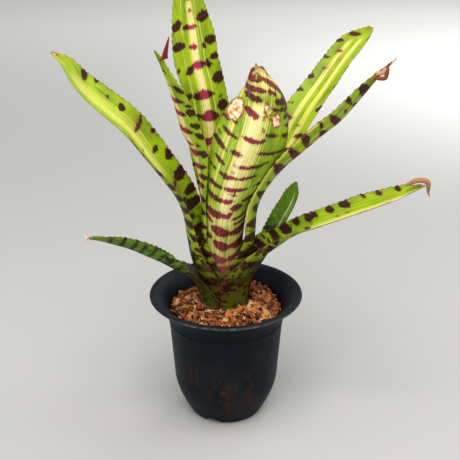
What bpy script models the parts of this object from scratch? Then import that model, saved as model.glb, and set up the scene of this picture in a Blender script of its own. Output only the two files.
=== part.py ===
"""A banded bromeliad growing in coconut husk in a flared nursery pot. Metres, +Z up.

The origin is the middle of the pot's foot, on the surface that it stands on, and the pot's axis is Z.
The plant's own axis stands beside it. Every leaf is a channelled blade that rises from a sheath, and
the sheaths wrap one round another about a short stem, each a named gap outside the last.
"""

import math
from collections import namedtuple

import bmesh
import bpy
from mathutils import Matrix, Vector

MM = 0.001
GAP = 0.3 * MM  # clearance wherever one piece rests on, or fits in, another

# Pot
POT_HEIGHT = 96 * MM
RIM_RADIUS = 55 * MM
SHOULDER_RADIUS = 41.8 * MM  # outer radius where the flare of the rim begins
FLARE_HEIGHT = 20 * MM
HIP_RADIUS = 38.8 * MM  # outer radius where the side starts to round in to the foot
HIP_HEIGHT = 34 * MM
FOOT_RADIUS = 27.5 * MM
FOOT_RING_WIDTH = 4 * MM
HUB_RADIUS = 7 * MM  # middle pad of the underside, level with the foot ring
BASE_RECESS = 3.8 * MM
WALL = 1.4 * MM
NOTCH_COUNT = 4
NOTCH_WIDTH = 13.4 * MM
NOTCH_DEPTH = 3.0 * MM
FIRST_NOTCH = 249  # degrees from +X
DRAIN_COUNT = 8
DRAIN_RADIUS = 2.6 * MM
NOTCH_SEGMENTS = 48
DRAIN_SEGMENTS = 12
POT_SEGMENTS = 48

# Growing medium
MEDIUM_BELOW_RIM = 15 * MM  # at the wall
MOUND_RADIUS = 24 * MM
MOUND_HEIGHT = 7 * MM

# Loose husk chips lying on the medium
CHIP_COUNT = 12
CHIP_LENGTH = 9 * MM
CHIP_WIDTH = 5 * MM
CHIP_THICKNESS = 2.6 * MM
CHIP_EDGE = 0.5 * MM
CHIP_VARIATION = 0.18  # share by which the chips' lengths differ
CHIP_SCATTER = 1.5 * MM  # how far they stray in and out
CHIP_YAW = 0.25  # radians

# Plant
PLANT_X = -1 * MM
PLANT_Y = 4 * MM
STEM_RADIUS = 7.6 * MM
STEM_CROWN_RADIUS = 4.6 * MM
STEM_FOOT_RADIUS = 5.3 * MM
STEM_SEGMENTS = 24
STEM_ABOVE = 14 * MM
STEM_BELOW = 26 * MM
LEAF_THICKNESS = 1.0 * MM
SHEATH_GAP = 0.35 * MM
SHEATH_BELOW = 5 * MM  # how far the sheaths reach into the medium
SHEATH_STRAIGHT = 3 * MM  # height above the medium where the sheaths start to widen
SHEATH_GROWTH = 11.2  # share by which the outermost sheath widens for each metre above that
OUTER_LAYER = 7
PEEL_LENGTH = 30 * MM  # over which a blade's sections turn square to its midrib
ROWS_PER_SPAN = 2  # rows of faces between one knot and the next
ACROSS = 10  # faces across a leaf

# A knot of a blade: how far its midrib lies out from the foot of its own sheath, how far to the side,
# and how high above the medium; how much wider each half of it is than an arc of the same angle in
# the sheath's foot; half the angle that its channel turns through; and its roll, where a positive
# roll turns the channel towards the leaf's left hand as seen from the stem. Millimetres and degrees.
Knot = namedtuple("Knot", "out side up wider channel roll")
# A leaf: azimuth in degrees from +X, its sheath's layer counted from the stem, half the angle that
# the sheath wraps through, the height in millimetres to which it clasps the stem, and its blade.
Leaf = namedtuple("Leaf", "name azimuth layer wrap clasp colour blade")

LIME = (0.36, 0.50, 0.03)
CREAM = (0.62, 0.62, 0.25)
DEEP = (0.13, 0.30, 0.03)

LEAVES = (
    Leaf("leaf_left_low", 197, 7, 60, 8, DEEP, (
        Knot(7.1, -0.5, 21, 3, 40, 0),
        Knot(18.1, -2, 28, -0.2, 44, -15),
        Knot(28.1, -2.5, 35, -1.4, 46, -28),
        Knot(39.1, -2.5, 42, -2.5, 48, -32),
        Knot(49.1, -2, 48, -3.5, 48, -32),
        Knot(62.1, -1, 54, -6, 48, -30),
        Knot(71.1, 0, 58, -8.1, 45, -20),
        Knot(79.1, 0, 60, -11.3, 40, -10),
    )),
    Leaf("leaf_back_small", 45, 7, 44, 6, DEEP, (
        Knot(1.6, 0, 10, -0.1, 42, 0),
        Knot(5.1, 0, 15, -0.5, 40, 0),
        Knot(15.1, 0, 21, -3.1, 42, 0),
        Knot(27.1, 0, 29, -4.1, 42, 0),
        Knot(35.1, 0, 38, -3.3, 40, 0),
        Knot(43.1, 0, 47, -2.7, 38, 0),
        Knot(51.1, 0, 55, -2.5, 36, 0),
        Knot(57.1, 0, 64, -3.9, 34, 0),
        Knot(60.1, 0, 72, -8.2, 30, 0),
    )),
    Leaf("leaf_right_low", 355, 6, 94, 18, LIME, (
        Knot(5.9, 0, 28, 6.5, 78, 0),
        Knot(12.4, 0, 37, 3.5, 64, 0),
        Knot(23.4, 0, 46, -0.8, 58, 0),
        Knot(33.5, 0, 54, -2.6, 54, -5),
        Knot(47.5, 0, 61, -1.8, 46, -12),
        Knot(67.5, 0, 70, -0.6, 40, -15),
        Knot(87.5, 0, 78, -0.5, 38, -15),
        Knot(104.5, 0, 85, -1.6, 35, -12),
        Knot(113.5, 0, 89, -3.7, 32, -6),
        Knot(120.5, 0, 92, -7.5, 30, 0),
    )),
    Leaf("leaf_left_long", 172, 5, 88, 16, LIME, (
        Knot(5.8, 0, 26, 7.7, 82, 0),
        Knot(9, -0.5, 36, 7.5, 68, 0),
        Knot(11.3, -1.2, 49, 4.9, 60, 0),
        Knot(13.8, -1.6, 66, 2.1, 60, 3),
        Knot(18.8, -1.6, 79.5, 0.9, 62, 6),
        Knot(28.6, -1, 94.5, 1.1, 60, 10),
        Knot(38, 0.5, 108.5, 2.2, 54, 14),
        Knot(50.6, 2.5, 127, 3, 47, 18),
        Knot(66.3, 3.5, 141.5, 2.9, 42, 20),
        Knot(81.8, 3, 155.5, 1.4, 38, 20),
        Knot(92.2, 1.5, 169.5, -2, 34, 18),
        Knot(101.8, 0, 177, -6.8, 30, 15),
    )),
    Leaf("leaf_right_mid", 350, 4, 80, 26, LIME, (
        Knot(7.2, 0, 50, 4.8, 42, 0),
        Knot(9.2, 0, 73, 4.3, 38, 4),
        Knot(16.1, 0, 89, 0.8, 42, 10),
        Knot(26.6, 0, 103, -0.6, 50, 14),
        Knot(38.8, 0, 115, -1, 56, 18),
        Knot(52.5, 0, 128, -0.5, 56, 20),
        Knot(64, 0, 138.5, -1.5, 56, 20),
        Knot(77.2, 0, 155.5, -4.5, 56, 18),
        Knot(84.2, 0, 165, -8, 58, 14),
        Knot(90.2, 0, 172, -10.5, 56, 10),
        Knot(96.2, 0, 179, -8.5, 40, 10),
    )),
    Leaf("leaf_left_inner", 206, 3, 70, 20, LIME, (
        Knot(4.2, 0.3, 46, -1.3, 30, 0),
        Knot(4.4, 0.3, 62, -1.5, 26, 0),
        Knot(4.4, 0.3, 80, -1.9, 26, 0),
        Knot(5.9, 1.2, 98, -2.1, 36, -10),
        Knot(9.3, 0.8, 116, -1.3, 48, -18),
        Knot(14.5, 0, 128, -0.1, 52, -22),
        Knot(18.5, 0, 141, -1.7, 56, -20),
        Knot(22.5, 0, 152, -4.1, 60, -14),
        Knot(27, 0, 164, -7.9, 66, -6),
        Knot(31.5, 0, 175, -11.3, 70, 0),
        Knot(35.5, 0, 184, -9.7, 50, 0),
    )),
    Leaf("leaf_front_cup", 270, 2, 98, 20, CREAM, (
        Knot(2.1, -1, 36, 2.8, 86, 0),
        Knot(3.3, 0, 52, 3.4, 80, 0),
        Knot(7.4, 2.5, 78, 5.4, 80, 0),
        Knot(9.9, 8, 98, 11.5, 72, 0),
        Knot(11.4, 15, 118, 16.9, 62, 0),
        Knot(10.9, 20, 133, 16.3, 60, 0),
        Knot(8.9, 23.5, 150, 10.2, 76, 0),
        Knot(6.4, 23.5, 160, 2.6, 105, 0),
        Knot(3.9, 22.5, 166.5, -7, 118, 0),
        Knot(0.5, 21.5, 172.5, -12, 95, 0),
    )),
    Leaf("leaf_right_upper", 38, 1, 90, 44, LIME, (
        Knot(2.7, 0, 60, 2.4, 56, 0),
        Knot(9.2, 0, 71, 0.3, 46, 0),
        Knot(20.2, 0, 83, 1.5, 44, 0),
        Knot(34.2, -0.6, 95, 5, 42, -4),
        Knot(47.2, -0.6, 109, 7.4, 40, -8),
        Knot(57.2, -0.6, 123, 8.4, 37, -12),
        Knot(68.2, -0.6, 135, 8.4, 34, -12),
        Knot(81.2, -0.6, 147, 7.7, 32, -12),
        Knot(94.2, -0.6, 160, 7.1, 30, -12),
        Knot(105.2, 0, 169, 7.2, 28, -12),
        Knot(117.2, 0, 177, 5.1, 26, -10),
        Knot(130.2, 0, 184, -1.6, 24, -8),
    )),
    Leaf("leaf_back_tall", 90, 0, 95, 50, LIME, (
        Knot(2.1, 2, 66, 3.6, 84, 0),
        Knot(5.6, 5, 90, 8.1, 74, 0),
        Knot(8.6, 8, 115, 10.9, 58, 0),
        Knot(11.6, 11.6, 140, 9.7, 46, 0),
        Knot(13.6, 14.6, 155, 9.8, 42, 0),
        Knot(16.6, 18.6, 170, 10.4, 38, 0),
        Knot(19.6, 20.6, 185, 10.3, 35, 0),
        Knot(22.6, 23.1, 200, 7.6, 33, 0),
        Knot(25.6, 24.5, 213, 4.1, 30, 0),
        Knot(27.6, 25, 222, -2.1, 28, 0),
    )),
)

MEDIUM_EDGE_Z = POT_HEIGHT - MEDIUM_BELOW_RIM
MEDIUM_TOP_Z = MEDIUM_EDGE_Z + MOUND_HEIGHT
FLOOR_Z = BASE_RECESS + WALL
PLANT_FOOT = Vector((PLANT_X, PLANT_Y, MEDIUM_TOP_Z))


def clear_scene():
    for old in list(bpy.data.objects):
        bpy.data.objects.remove(old, do_unlink=True)


def new_collection(name):
    collection = bpy.data.collections.new(name)
    bpy.context.scene.collection.children.link(collection)
    return collection


def new_material(name, colour, roughness):
    material = bpy.data.materials.new(name)
    material.use_nodes = True
    shader = material.node_tree.nodes["Principled BSDF"]
    shader.inputs["Base Color"].default_value = (*colour, 1)
    shader.inputs["Roughness"].default_value = roughness
    shader.inputs["Metallic"].default_value = 0.0
    return material


def new_object(name, mesh, collection, material=None):
    piece = bpy.data.objects.new(name, mesh)
    if material:
        mesh.materials.append(material)
    collection.objects.link(piece)
    return piece


def turned(name, profile, collection, material=None, segments=POT_SEGMENTS):
    """A solid of revolution about Z. The profile's outer side runs from its top to its bottom."""
    mesh = bpy.data.meshes.new(name)
    bm = bmesh.new()
    chain = [bm.verts.new((radius, 0, z)) for radius, z in profile]
    for first, second in zip(chain, chain[1:]):
        bm.edges.new((first, second))
    bm.to_mesh(mesh)
    bm.free()
    piece = new_object(name, mesh, collection, material)
    screw = piece.modifiers.new("Turn", "SCREW")
    screw.axis = "Z"
    screw.steps = screw.render_steps = segments
    screw.use_merge_vertices = True
    screw.merge_threshold = 0.00005
    return piece


def cut(piece, cutter):
    cutter.hide_render = True
    cutter.display_type = "WIRE"
    boolean = piece.modifiers.new("Cut " + cutter.name, "BOOLEAN")
    boolean.operation = "DIFFERENCE"
    boolean.object = cutter


def cylinder_cutter(name, radius, depth, matrix, collection, segments):
    mesh = bpy.data.meshes.new(name)
    bm = bmesh.new()
    bmesh.ops.create_cone(bm, cap_ends=True, segments=segments, radius1=radius, radius2=radius,
                          depth=depth, matrix=matrix)
    bm.to_mesh(mesh)
    bm.free()
    return new_object(name, mesh, collection)


# The pot's outlines, from the rim down

def flare(inset, top, count):
    """Quarter ellipse from the rim's edge, where it is level, to the shoulder, where it is upright."""
    reach = RIM_RADIUS - SHOULDER_RADIUS + inset
    drop = top - (POT_HEIGHT - FLARE_HEIGHT)
    for i in range(count + 1):
        turn = math.pi / 2 * i / count
        yield RIM_RADIUS - reach * math.sin(turn), top - drop * (1 - math.cos(turn))


def side_radius(z):
    """Outer radius of the pot below its shoulder."""
    if z >= HIP_HEIGHT:
        share = (z - HIP_HEIGHT) / (POT_HEIGHT - FLARE_HEIGHT - HIP_HEIGHT)
        return HIP_RADIUS + (SHOULDER_RADIUS - HIP_RADIUS) * share
    return FOOT_RADIUS + (HIP_RADIUS - FOOT_RADIUS) * math.sin(math.pi / 2 * z / HIP_HEIGHT)


def inner_radius(z):
    return side_radius(z) - WALL


def inner_side(bottom, count, gap=0.0):
    """The inner wall from the floor up to the shoulder, or to a lower height."""
    top = POT_HEIGHT - FLARE_HEIGHT
    for i in range(count + 1):
        z = bottom + (top - bottom) * (i / count) ** 1.5
        yield inner_radius(z) - gap, z


def pot_profile():
    inside = [(0, FLOOR_Z), *inner_side(FLOOR_Z, 5)]
    lip_top = list(flare(WALL, POT_HEIGHT, 6))
    lip_under = list(flare(0.0, POT_HEIGHT - WALL, 6))
    outside = [(side_radius(z), z) for _, z in reversed(list(inner_side(0.0, 6)))][1:]
    ring = FOOT_RADIUS - FOOT_RING_WIDTH
    under = [(ring, 0), (ring - WALL, BASE_RECESS), (HUB_RADIUS + WALL, BASE_RECESS), (HUB_RADIUS, 0)]
    under.append((0, 0))
    return inside[:-1] + list(reversed(lip_top)) + lip_under + outside + under


def build_pot(collection, cutters):
    material = new_material("charcoal plastic", (0.02, 0.024, 0.03), 0.55)
    pot = turned("pot", pot_profile(), collection, material)
    notch_radius = (NOTCH_WIDTH ** 2 / 4 + NOTCH_DEPTH ** 2) / (2 * NOTCH_DEPTH)
    for i in range(NOTCH_COUNT):
        turn = Matrix.Rotation(math.radians(FIRST_NOTCH + 360 / NOTCH_COUNT * i), 4, "Z")
        place = Matrix.Translation((FOOT_RADIUS, 0, NOTCH_DEPTH - notch_radius))
        lay = Matrix.Rotation(math.pi / 2, 4, "Y")
        cut(pot, cylinder_cutter(f"notch_{i + 1}", notch_radius, FOOT_RING_WIDTH * 4, turn @ place @ lay,
                                 cutters, NOTCH_SEGMENTS))
    drain_circle = (HUB_RADIUS + FOOT_RADIUS - FOOT_RING_WIDTH) / 2
    for i in range(DRAIN_COUNT):
        turn = Matrix.Rotation(math.radians(360 / DRAIN_COUNT * i), 4, "Z")
        place = Matrix.Translation((drain_circle, 0, BASE_RECESS + WALL / 2))
        cut(pot, cylinder_cutter(f"drain_{i + 1}", DRAIN_RADIUS, WALL * 4, turn @ place, cutters,
                                 DRAIN_SEGMENTS))
    return pot


# The medium and the chips on it

def flare_inner_radius(z):
    """Inner radius of the pot at a height within the flare, or below it."""
    shoulder = POT_HEIGHT - FLARE_HEIGHT
    if z <= shoulder:
        return inner_radius(z)
    share = (z - shoulder) / FLARE_HEIGHT
    return RIM_RADIUS - (RIM_RADIUS - SHOULDER_RADIUS + WALL) * math.sqrt(1 - share ** 2)


def medium_edge():
    """Radius where the medium's surface stops, just short of the pot's wall."""
    return flare_inner_radius(MEDIUM_EDGE_Z) - GAP


def medium_level(radius):
    """Height of the medium's surface: level round the plant, then falling to the wall."""
    share = (radius - MOUND_RADIUS) / (medium_edge() - MOUND_RADIUS)
    return MEDIUM_TOP_Z - MOUND_HEIGHT * min(max(share, 0), 1)


def outermost_radius():
    return layer_radius(OUTER_LAYER) + LEAF_THICKNESS / 2


def build_medium(collection, cutters):
    profile = [(0, MEDIUM_TOP_Z), (MOUND_RADIUS, MEDIUM_TOP_Z), (medium_edge(), MEDIUM_EDGE_Z)]
    wall = list(inner_side(FLOOR_Z + GAP, 5, GAP))
    profile += [point for point in reversed(wall) if point[1] < MEDIUM_EDGE_Z - GAP]
    profile.append((0, FLOOR_Z + GAP))
    colour = (0.43, 0.17, 0.05)
    medium = turned("growing_medium", profile, collection, new_material("coconut husk", colour, 0.9))
    sheath_floor = MEDIUM_TOP_Z - SHEATH_BELOW - GAP
    socket = [
        (0, MEDIUM_TOP_Z + STEM_ABOVE),
        (outermost_radius() + GAP, MEDIUM_TOP_Z + STEM_ABOVE),
        (outermost_radius() + GAP, sheath_floor),
        (STEM_RADIUS + GAP, sheath_floor),
        (STEM_FOOT_RADIUS + GAP, MEDIUM_TOP_Z - STEM_BELOW - GAP),
        (0, MEDIUM_TOP_Z - STEM_BELOW - GAP),
    ]
    cutter = turned("socket", socket, cutters)
    cutter.location = (PLANT_X, PLANT_Y, 0)
    cut(medium, cutter)
    return medium


def chip_mesh(name, length):
    mesh = bpy.data.meshes.new(name)
    bm = bmesh.new()
    bmesh.ops.create_cube(bm, size=1, matrix=Matrix.Diagonal((CHIP_WIDTH, length, CHIP_THICKNESS, 1)))
    bm.to_mesh(mesh)
    bm.free()
    return mesh


def build_chips(collection):
    """Chips in a ring half way up the slope, each laid along it with its ends clear of the curve."""
    material = new_material("husk chip", (0.55, 0.27, 0.10), 0.9)
    slope = math.atan2(MOUND_HEIGHT, medium_edge() - MOUND_RADIUS)
    for i in range(CHIP_COUNT):
        name = f"husk_chip_{i + 1:02d}"
        length = CHIP_LENGTH * (1 + CHIP_VARIATION * math.sin(2.4 * i))
        chip = new_object(name, chip_mesh(name, length), collection, material)
        bevel = chip.modifiers.new("Worn edges", "BEVEL")
        bevel.width = CHIP_EDGE
        bevel.segments = 1
        radius = (medium_edge() + MOUND_RADIUS) / 2 + CHIP_SCATTER * math.cos(2.6 * i)
        rise_of_curve = length ** 2 / (8 * radius) * math.sin(slope)
        lift = Matrix.Translation((0, 0, GAP + CHIP_THICKNESS / 2 + rise_of_curve))
        turn = Matrix.Rotation(2 * math.pi * (i + 0.5) / CHIP_COUNT, 4, "Z")
        place = Matrix.Translation((radius, 0, medium_level(radius)))
        tilt = Matrix.Rotation(slope, 4, "Y")
        yaw = Matrix.Rotation(CHIP_YAW * math.sin(5.1 * i), 4, "Z")
        chip.matrix_world = turn @ place @ tilt @ lift @ yaw


# The plant

def layer_radius(layer):
    """Radius of the middle of a sheath's wall where it enters the medium."""
    return STEM_RADIUS + SHEATH_GAP + LEAF_THICKNESS / 2 + layer * (LEAF_THICKNESS + SHEATH_GAP)


def build_stem(collection):
    top = MEDIUM_TOP_Z + STEM_ABOVE
    crown = STEM_CROWN_RADIUS
    profile = [(crown * math.sin(t), top - crown + crown * math.cos(t)) for t in (0, 0.4, 0.8, 1.2)]
    profile += [
        (STEM_RADIUS, MEDIUM_TOP_Z),
        (STEM_RADIUS, MEDIUM_TOP_Z - SHEATH_BELOW),
        (STEM_FOOT_RADIUS, MEDIUM_TOP_Z - STEM_BELOW),
        (0, MEDIUM_TOP_Z - STEM_BELOW),
    ]
    material = new_material("stem", (0.20, 0.17, 0.06), 0.7)
    stem = turned("stem", profile, collection, material, STEM_SEGMENTS)
    stem.location = (PLANT_X, PLANT_Y, 0)
    return stem


def sheath_knots(leaf):
    """The knots from a leaf's foot in the medium to the height where it lets go of the stem."""
    foot = layer_radius(leaf.layer)
    growth = SHEATH_GROWTH * leaf.layer / OUTER_LAYER
    for height in (-SHEATH_BELOW, leaf.clasp * MM / 3, leaf.clasp * MM):
        radius = foot * (1 + growth * max(height - SHEATH_STRAIGHT, 0.0))
        yield Vector((radius, 0, height, radius * math.radians(leaf.wrap), math.radians(leaf.wrap), 0))


def blade_knots(leaf):
    foot = layer_radius(leaf.layer)
    for knot in leaf.blade:
        channel = math.radians(knot.channel)
        half_width = foot * channel + knot.wider * MM
        yield Vector((foot + knot.out * MM, knot.side * MM, knot.up * MM, half_width, channel,
                      math.radians(knot.roll)))


def smooth_rows(knots, per_span):
    """Rows read from a Catmull-Rom spline through the knots, every value at once."""
    ends = [2 * knots[0] - knots[1], *knots, 2 * knots[-1] - knots[-2]]
    rows = []
    for before, start, end, after in zip(ends, ends[1:], ends[2:], ends[3:]):
        for i in range(per_span):
            t = i / per_span
            rows.append(0.5 * (2 * start + t * (end - before)
                               + t ** 2 * (2 * before - 5 * start + 4 * end - after)
                               + t ** 3 * (3 * start - before - 3 * end + after)))
    return [*rows, knots[-1]]


def smooth_step(value):
    value = min(max(value, 0), 1)
    return value * value * (3 - 2 * value)


def leaf_sections(leaf):
    """For each row: its middle, its side and inward directions, its radius and its half angle."""
    azimuth = math.radians(leaf.azimuth)
    outward = Vector((math.cos(azimuth), math.sin(azimuth), 0))
    sideways = Vector((-math.sin(azimuth), math.cos(azimuth), 0))
    rows = smooth_rows([*sheath_knots(leaf), *blade_knots(leaf)], ROWS_PER_SPAN)
    middles = [PLANT_FOOT + outward * r[0] + sideways * r[1] + Vector((0, 0, r[2])) for r in rows]
    sections = []
    for i, row in enumerate(rows):
        before, after = middles[max(i - 1, 0)], middles[min(i + 1, len(rows) - 1)]
        along = (after - before).normalized()
        side = (sideways - along * sideways.dot(along)).normalized()
        square = along.cross(side)
        inward = square * math.cos(row[5]) + side * math.sin(row[5])
        side = side * math.cos(row[5]) - square * math.sin(row[5])
        peeled = smooth_step((row[2] - leaf.clasp * MM) / PEEL_LENGTH)
        inward = (-outward).lerp(inward, peeled).normalized()
        side = sideways.lerp(side, peeled).normalized()
        sections.append((middles[i], side, inward, row[3] / row[4], row[4]))
    return sections


def build_leaf(leaf, collection):
    sections = leaf_sections(leaf)
    last = len(sections) - 1
    mesh = bpy.data.meshes.new(leaf.name)
    bm = bmesh.new()
    bmesh.ops.create_grid(bm, x_segments=ACROSS, y_segments=last, size=1)
    for vert in bm.verts:
        middle, side, inward, radius, half_angle = sections[round((vert.co.y + 1) / 2 * last)]
        angle = half_angle * vert.co.x
        vert.co = middle + side * radius * math.sin(angle) + inward * radius * (1 - math.cos(angle))
    bm.to_mesh(mesh)
    bm.free()
    mesh.shade_smooth()
    blade = new_object(leaf.name, mesh, collection, new_material(leaf.name, leaf.colour, 0.4))
    solid = blade.modifiers.new("Thickness", "SOLIDIFY")
    solid.thickness = LEAF_THICKNESS
    solid.offset = 0
    return blade


def main():
    clear_scene()
    parts = new_collection("potted_bromeliad")
    cutters = new_collection("cutters")
    build_pot(parts, cutters)
    build_medium(parts, cutters)
    build_chips(parts)
    build_stem(parts)
    for leaf in LEAVES:
        build_leaf(leaf, parts)


main()
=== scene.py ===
import logging
import math
import random
from dataclasses import dataclass, replace
from enum import Enum
from typing import Iterable, Sequence, Union

import bmesh
import bpy
import numpy as np
from mathutils import Matrix, Vector, noise


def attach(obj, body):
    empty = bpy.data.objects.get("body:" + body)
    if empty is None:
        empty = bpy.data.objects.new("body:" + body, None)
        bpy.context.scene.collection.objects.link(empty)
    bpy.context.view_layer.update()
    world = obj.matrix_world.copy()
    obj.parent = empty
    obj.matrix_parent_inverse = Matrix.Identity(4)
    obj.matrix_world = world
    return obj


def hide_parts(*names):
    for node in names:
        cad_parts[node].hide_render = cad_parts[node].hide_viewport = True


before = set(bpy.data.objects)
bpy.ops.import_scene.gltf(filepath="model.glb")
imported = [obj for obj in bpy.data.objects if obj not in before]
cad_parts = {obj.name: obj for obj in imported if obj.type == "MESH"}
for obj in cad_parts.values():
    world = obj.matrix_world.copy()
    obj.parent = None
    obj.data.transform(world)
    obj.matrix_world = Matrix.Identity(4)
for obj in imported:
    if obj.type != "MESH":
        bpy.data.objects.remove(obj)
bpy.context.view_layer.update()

BODY = "root"
MM = 0.001
SEED = 41
LEAF_SEED_STEP = 7.3
NO_BAND = -9.0
MERGE_DISTANCE = 0.01 * MM
TOOTH_RISE = 0.72
THICKNESS_LEVELS = 20
SPUR_SPANS = 5
SPUR_SIDES = 10
STEM_SIDES = 32
FIBRE_SPANS = 5
FIBRE_SIDES = 4

Colour = tuple[float, float, float]
Feed = Union[bpy.types.NodeSocket, Colour, float]

log = logging.getLogger("bromeliad")


# ---------------------------------------------------------------- shader graphs


class Graph:
    """A short way to write a material's node graph."""

    def __init__(self, name: str) -> None:
        """Starts a material that holds only its output and a Principled shader.

        Args:
            name: The material's name.
        """
        self.material = bpy.data.materials.new(name)
        self.material.use_nodes = True
        self.tree = self.material.node_tree
        self.shader = self.tree.nodes["Principled BSDF"]

    def set(self, socket: bpy.types.NodeSocket, value: Feed) -> None:
        """Feeds a socket.

        Args:
            socket: The input to feed.
            value: Another node's output socket, a colour or a number.
        """
        if isinstance(value, bpy.types.NodeSocket):
            self.tree.links.new(value, socket)
        elif isinstance(value, (tuple, list)) and socket.type == "RGBA":
            socket.default_value = (*value, 1.0)
        else:
            socket.default_value = value

    def node(self, kind: str, settings: dict[str, str] | None = None, **inputs: Feed) -> bpy.types.Node:
        """Adds a node.

        Args:
            kind: The node's class name in Blender.
            settings: Properties of the node itself.
            **inputs: Values for its inputs, with underscores for spaces.

        Returns:
            The new node.
        """
        node = self.tree.nodes.new(kind)
        for key, value in (settings or {}).items():
            setattr(node, key, value)
        for key, value in inputs.items():
            self.set(node.inputs[key.replace("_", " ")], value)
        return node

    def math(self, operation: str, *values: Feed) -> bpy.types.NodeSocket:
        """Adds a Math node.

        Args:
            operation: The operation's name.
            *values: One to three numbers or sockets.

        Returns:
            The result.
        """
        node = self.node("ShaderNodeMath", {"operation": operation})
        for socket, value in zip(node.inputs, values):
            self.set(socket, value)
        return node.outputs[0]

    def add(self, first: Feed, second: Feed) -> bpy.types.NodeSocket:
        """Adds two numbers or sockets.

        Args:
            first: The first.
            second: The second.

        Returns:
            Their sum.
        """
        return self.math("ADD", first, second)

    def times(self, first: Feed, second: Feed) -> bpy.types.NodeSocket:
        """Multiplies two numbers or sockets.

        Args:
            first: The first.
            second: The second.

        Returns:
            Their product.
        """
        return self.math("MULTIPLY", first, second)

    def swing(self, value: Feed, reach: float) -> bpy.types.NodeSocket:
        """Moves noise around 0.5 to lie around 0.

        Args:
            value: The noise.
            reach: What it is then multiplied by.

        Returns:
            The swing.
        """
        return self.times(self.math("SUBTRACT", value, 0.5), reach)

    def step(self, value: Feed, low: float, high: float) -> bpy.types.NodeSocket:
        """A smooth step from 0 at low to 1 at high.

        Args:
            value: The socket to read.
            low: Where the step starts.
            high: Where the step ends.

        Returns:
            The step.
        """
        node = self.node("ShaderNodeMapRange", {"interpolation_type": "SMOOTHSTEP"},
                         Value=value, From_Min=low, From_Max=high)
        return node.outputs["Result"]

    def spread(self, value: Feed, low: float, high: float) -> bpy.types.NodeSocket:
        """Maps 0 to 1 on to another range.

        Args:
            value: The socket to read.
            low: The result at 0.
            high: The result at 1.

        Returns:
            The mapped value.
        """
        node = self.node("ShaderNodeMapRange", Value=value, To_Min=low, To_Max=high)
        return node.outputs["Result"]

    def mix(self, share: Feed, first: Feed, second: Feed) -> bpy.types.NodeSocket:
        """Mixes two colours.

        Args:
            share: How much of the second colour shows.
            first: The first colour.
            second: The second colour.

        Returns:
            The mixed colour.
        """
        node = self.node("ShaderNodeMix", {"data_type": "RGBA"})
        self.set(node.inputs[0], share)
        self.set(node.inputs[6], first)
        self.set(node.inputs[7], second)
        return node.outputs[2]

    def attribute(self, name: str) -> bpy.types.NodeSocket:
        """Reads a number stored on the mesh.

        Args:
            name: The attribute's name.

        Returns:
            Its value.
        """
        return self.node("ShaderNodeAttribute", {"attribute_name": name}).outputs["Fac"]

    def position(self) -> bpy.types.NodeSocket:
        """The place in the object's own coordinates, in metres.

        Returns:
            The coordinates.
        """
        return self.node("ShaderNodeTexCoord").outputs["Object"]

    def scaled(self, vector: bpy.types.NodeSocket, scale: Sequence[float]) -> bpy.types.NodeSocket:
        """Stretches coordinates.

        Args:
            vector: The coordinates.
            scale: A factor for each axis.

        Returns:
            The stretched coordinates.
        """
        node = self.node("ShaderNodeVectorMath", {"operation": "MULTIPLY"})
        self.set(node.inputs[0], vector)
        node.inputs[1].default_value = scale
        return node.outputs[0]

    def noise(self, vector: bpy.types.NodeSocket, scale: float, detail: float = 2.0) -> bpy.types.NodeSocket:
        """Smooth noise around 0.5.

        Args:
            vector: The coordinates to read it at.
            scale: How many cells fit in one unit.
            detail: How many finer layers are added.

        Returns:
            The noise.
        """
        node = self.node("ShaderNodeTexNoise", Vector=vector, Scale=scale, Detail=detail)
        return node.outputs["Fac"]

    def bump(self, height: Feed, strength: float, distance: float) -> bpy.types.NodeSocket:
        """Turns a height into a bumped normal.

        Args:
            height: The height to read.
            strength: How strongly it shows, from 0 to 1.
            distance: The height of 1, in metres.

        Returns:
            The normal.
        """
        node = self.node("ShaderNodeBump", Height=height)
        node.inputs["Strength"].default_value = strength
        node.inputs["Distance"].default_value = distance
        return node.outputs["Normal"]

    def finish(self, **inputs: Feed) -> bpy.types.Material:
        """Feeds the shader and returns the material.

        Args:
            **inputs: Values for the Principled shader's inputs.

        Returns:
            The finished material.
        """
        for key, value in inputs.items():
            self.set(self.shader.inputs[key.replace("_", " ")], value)
        return self.material


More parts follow.
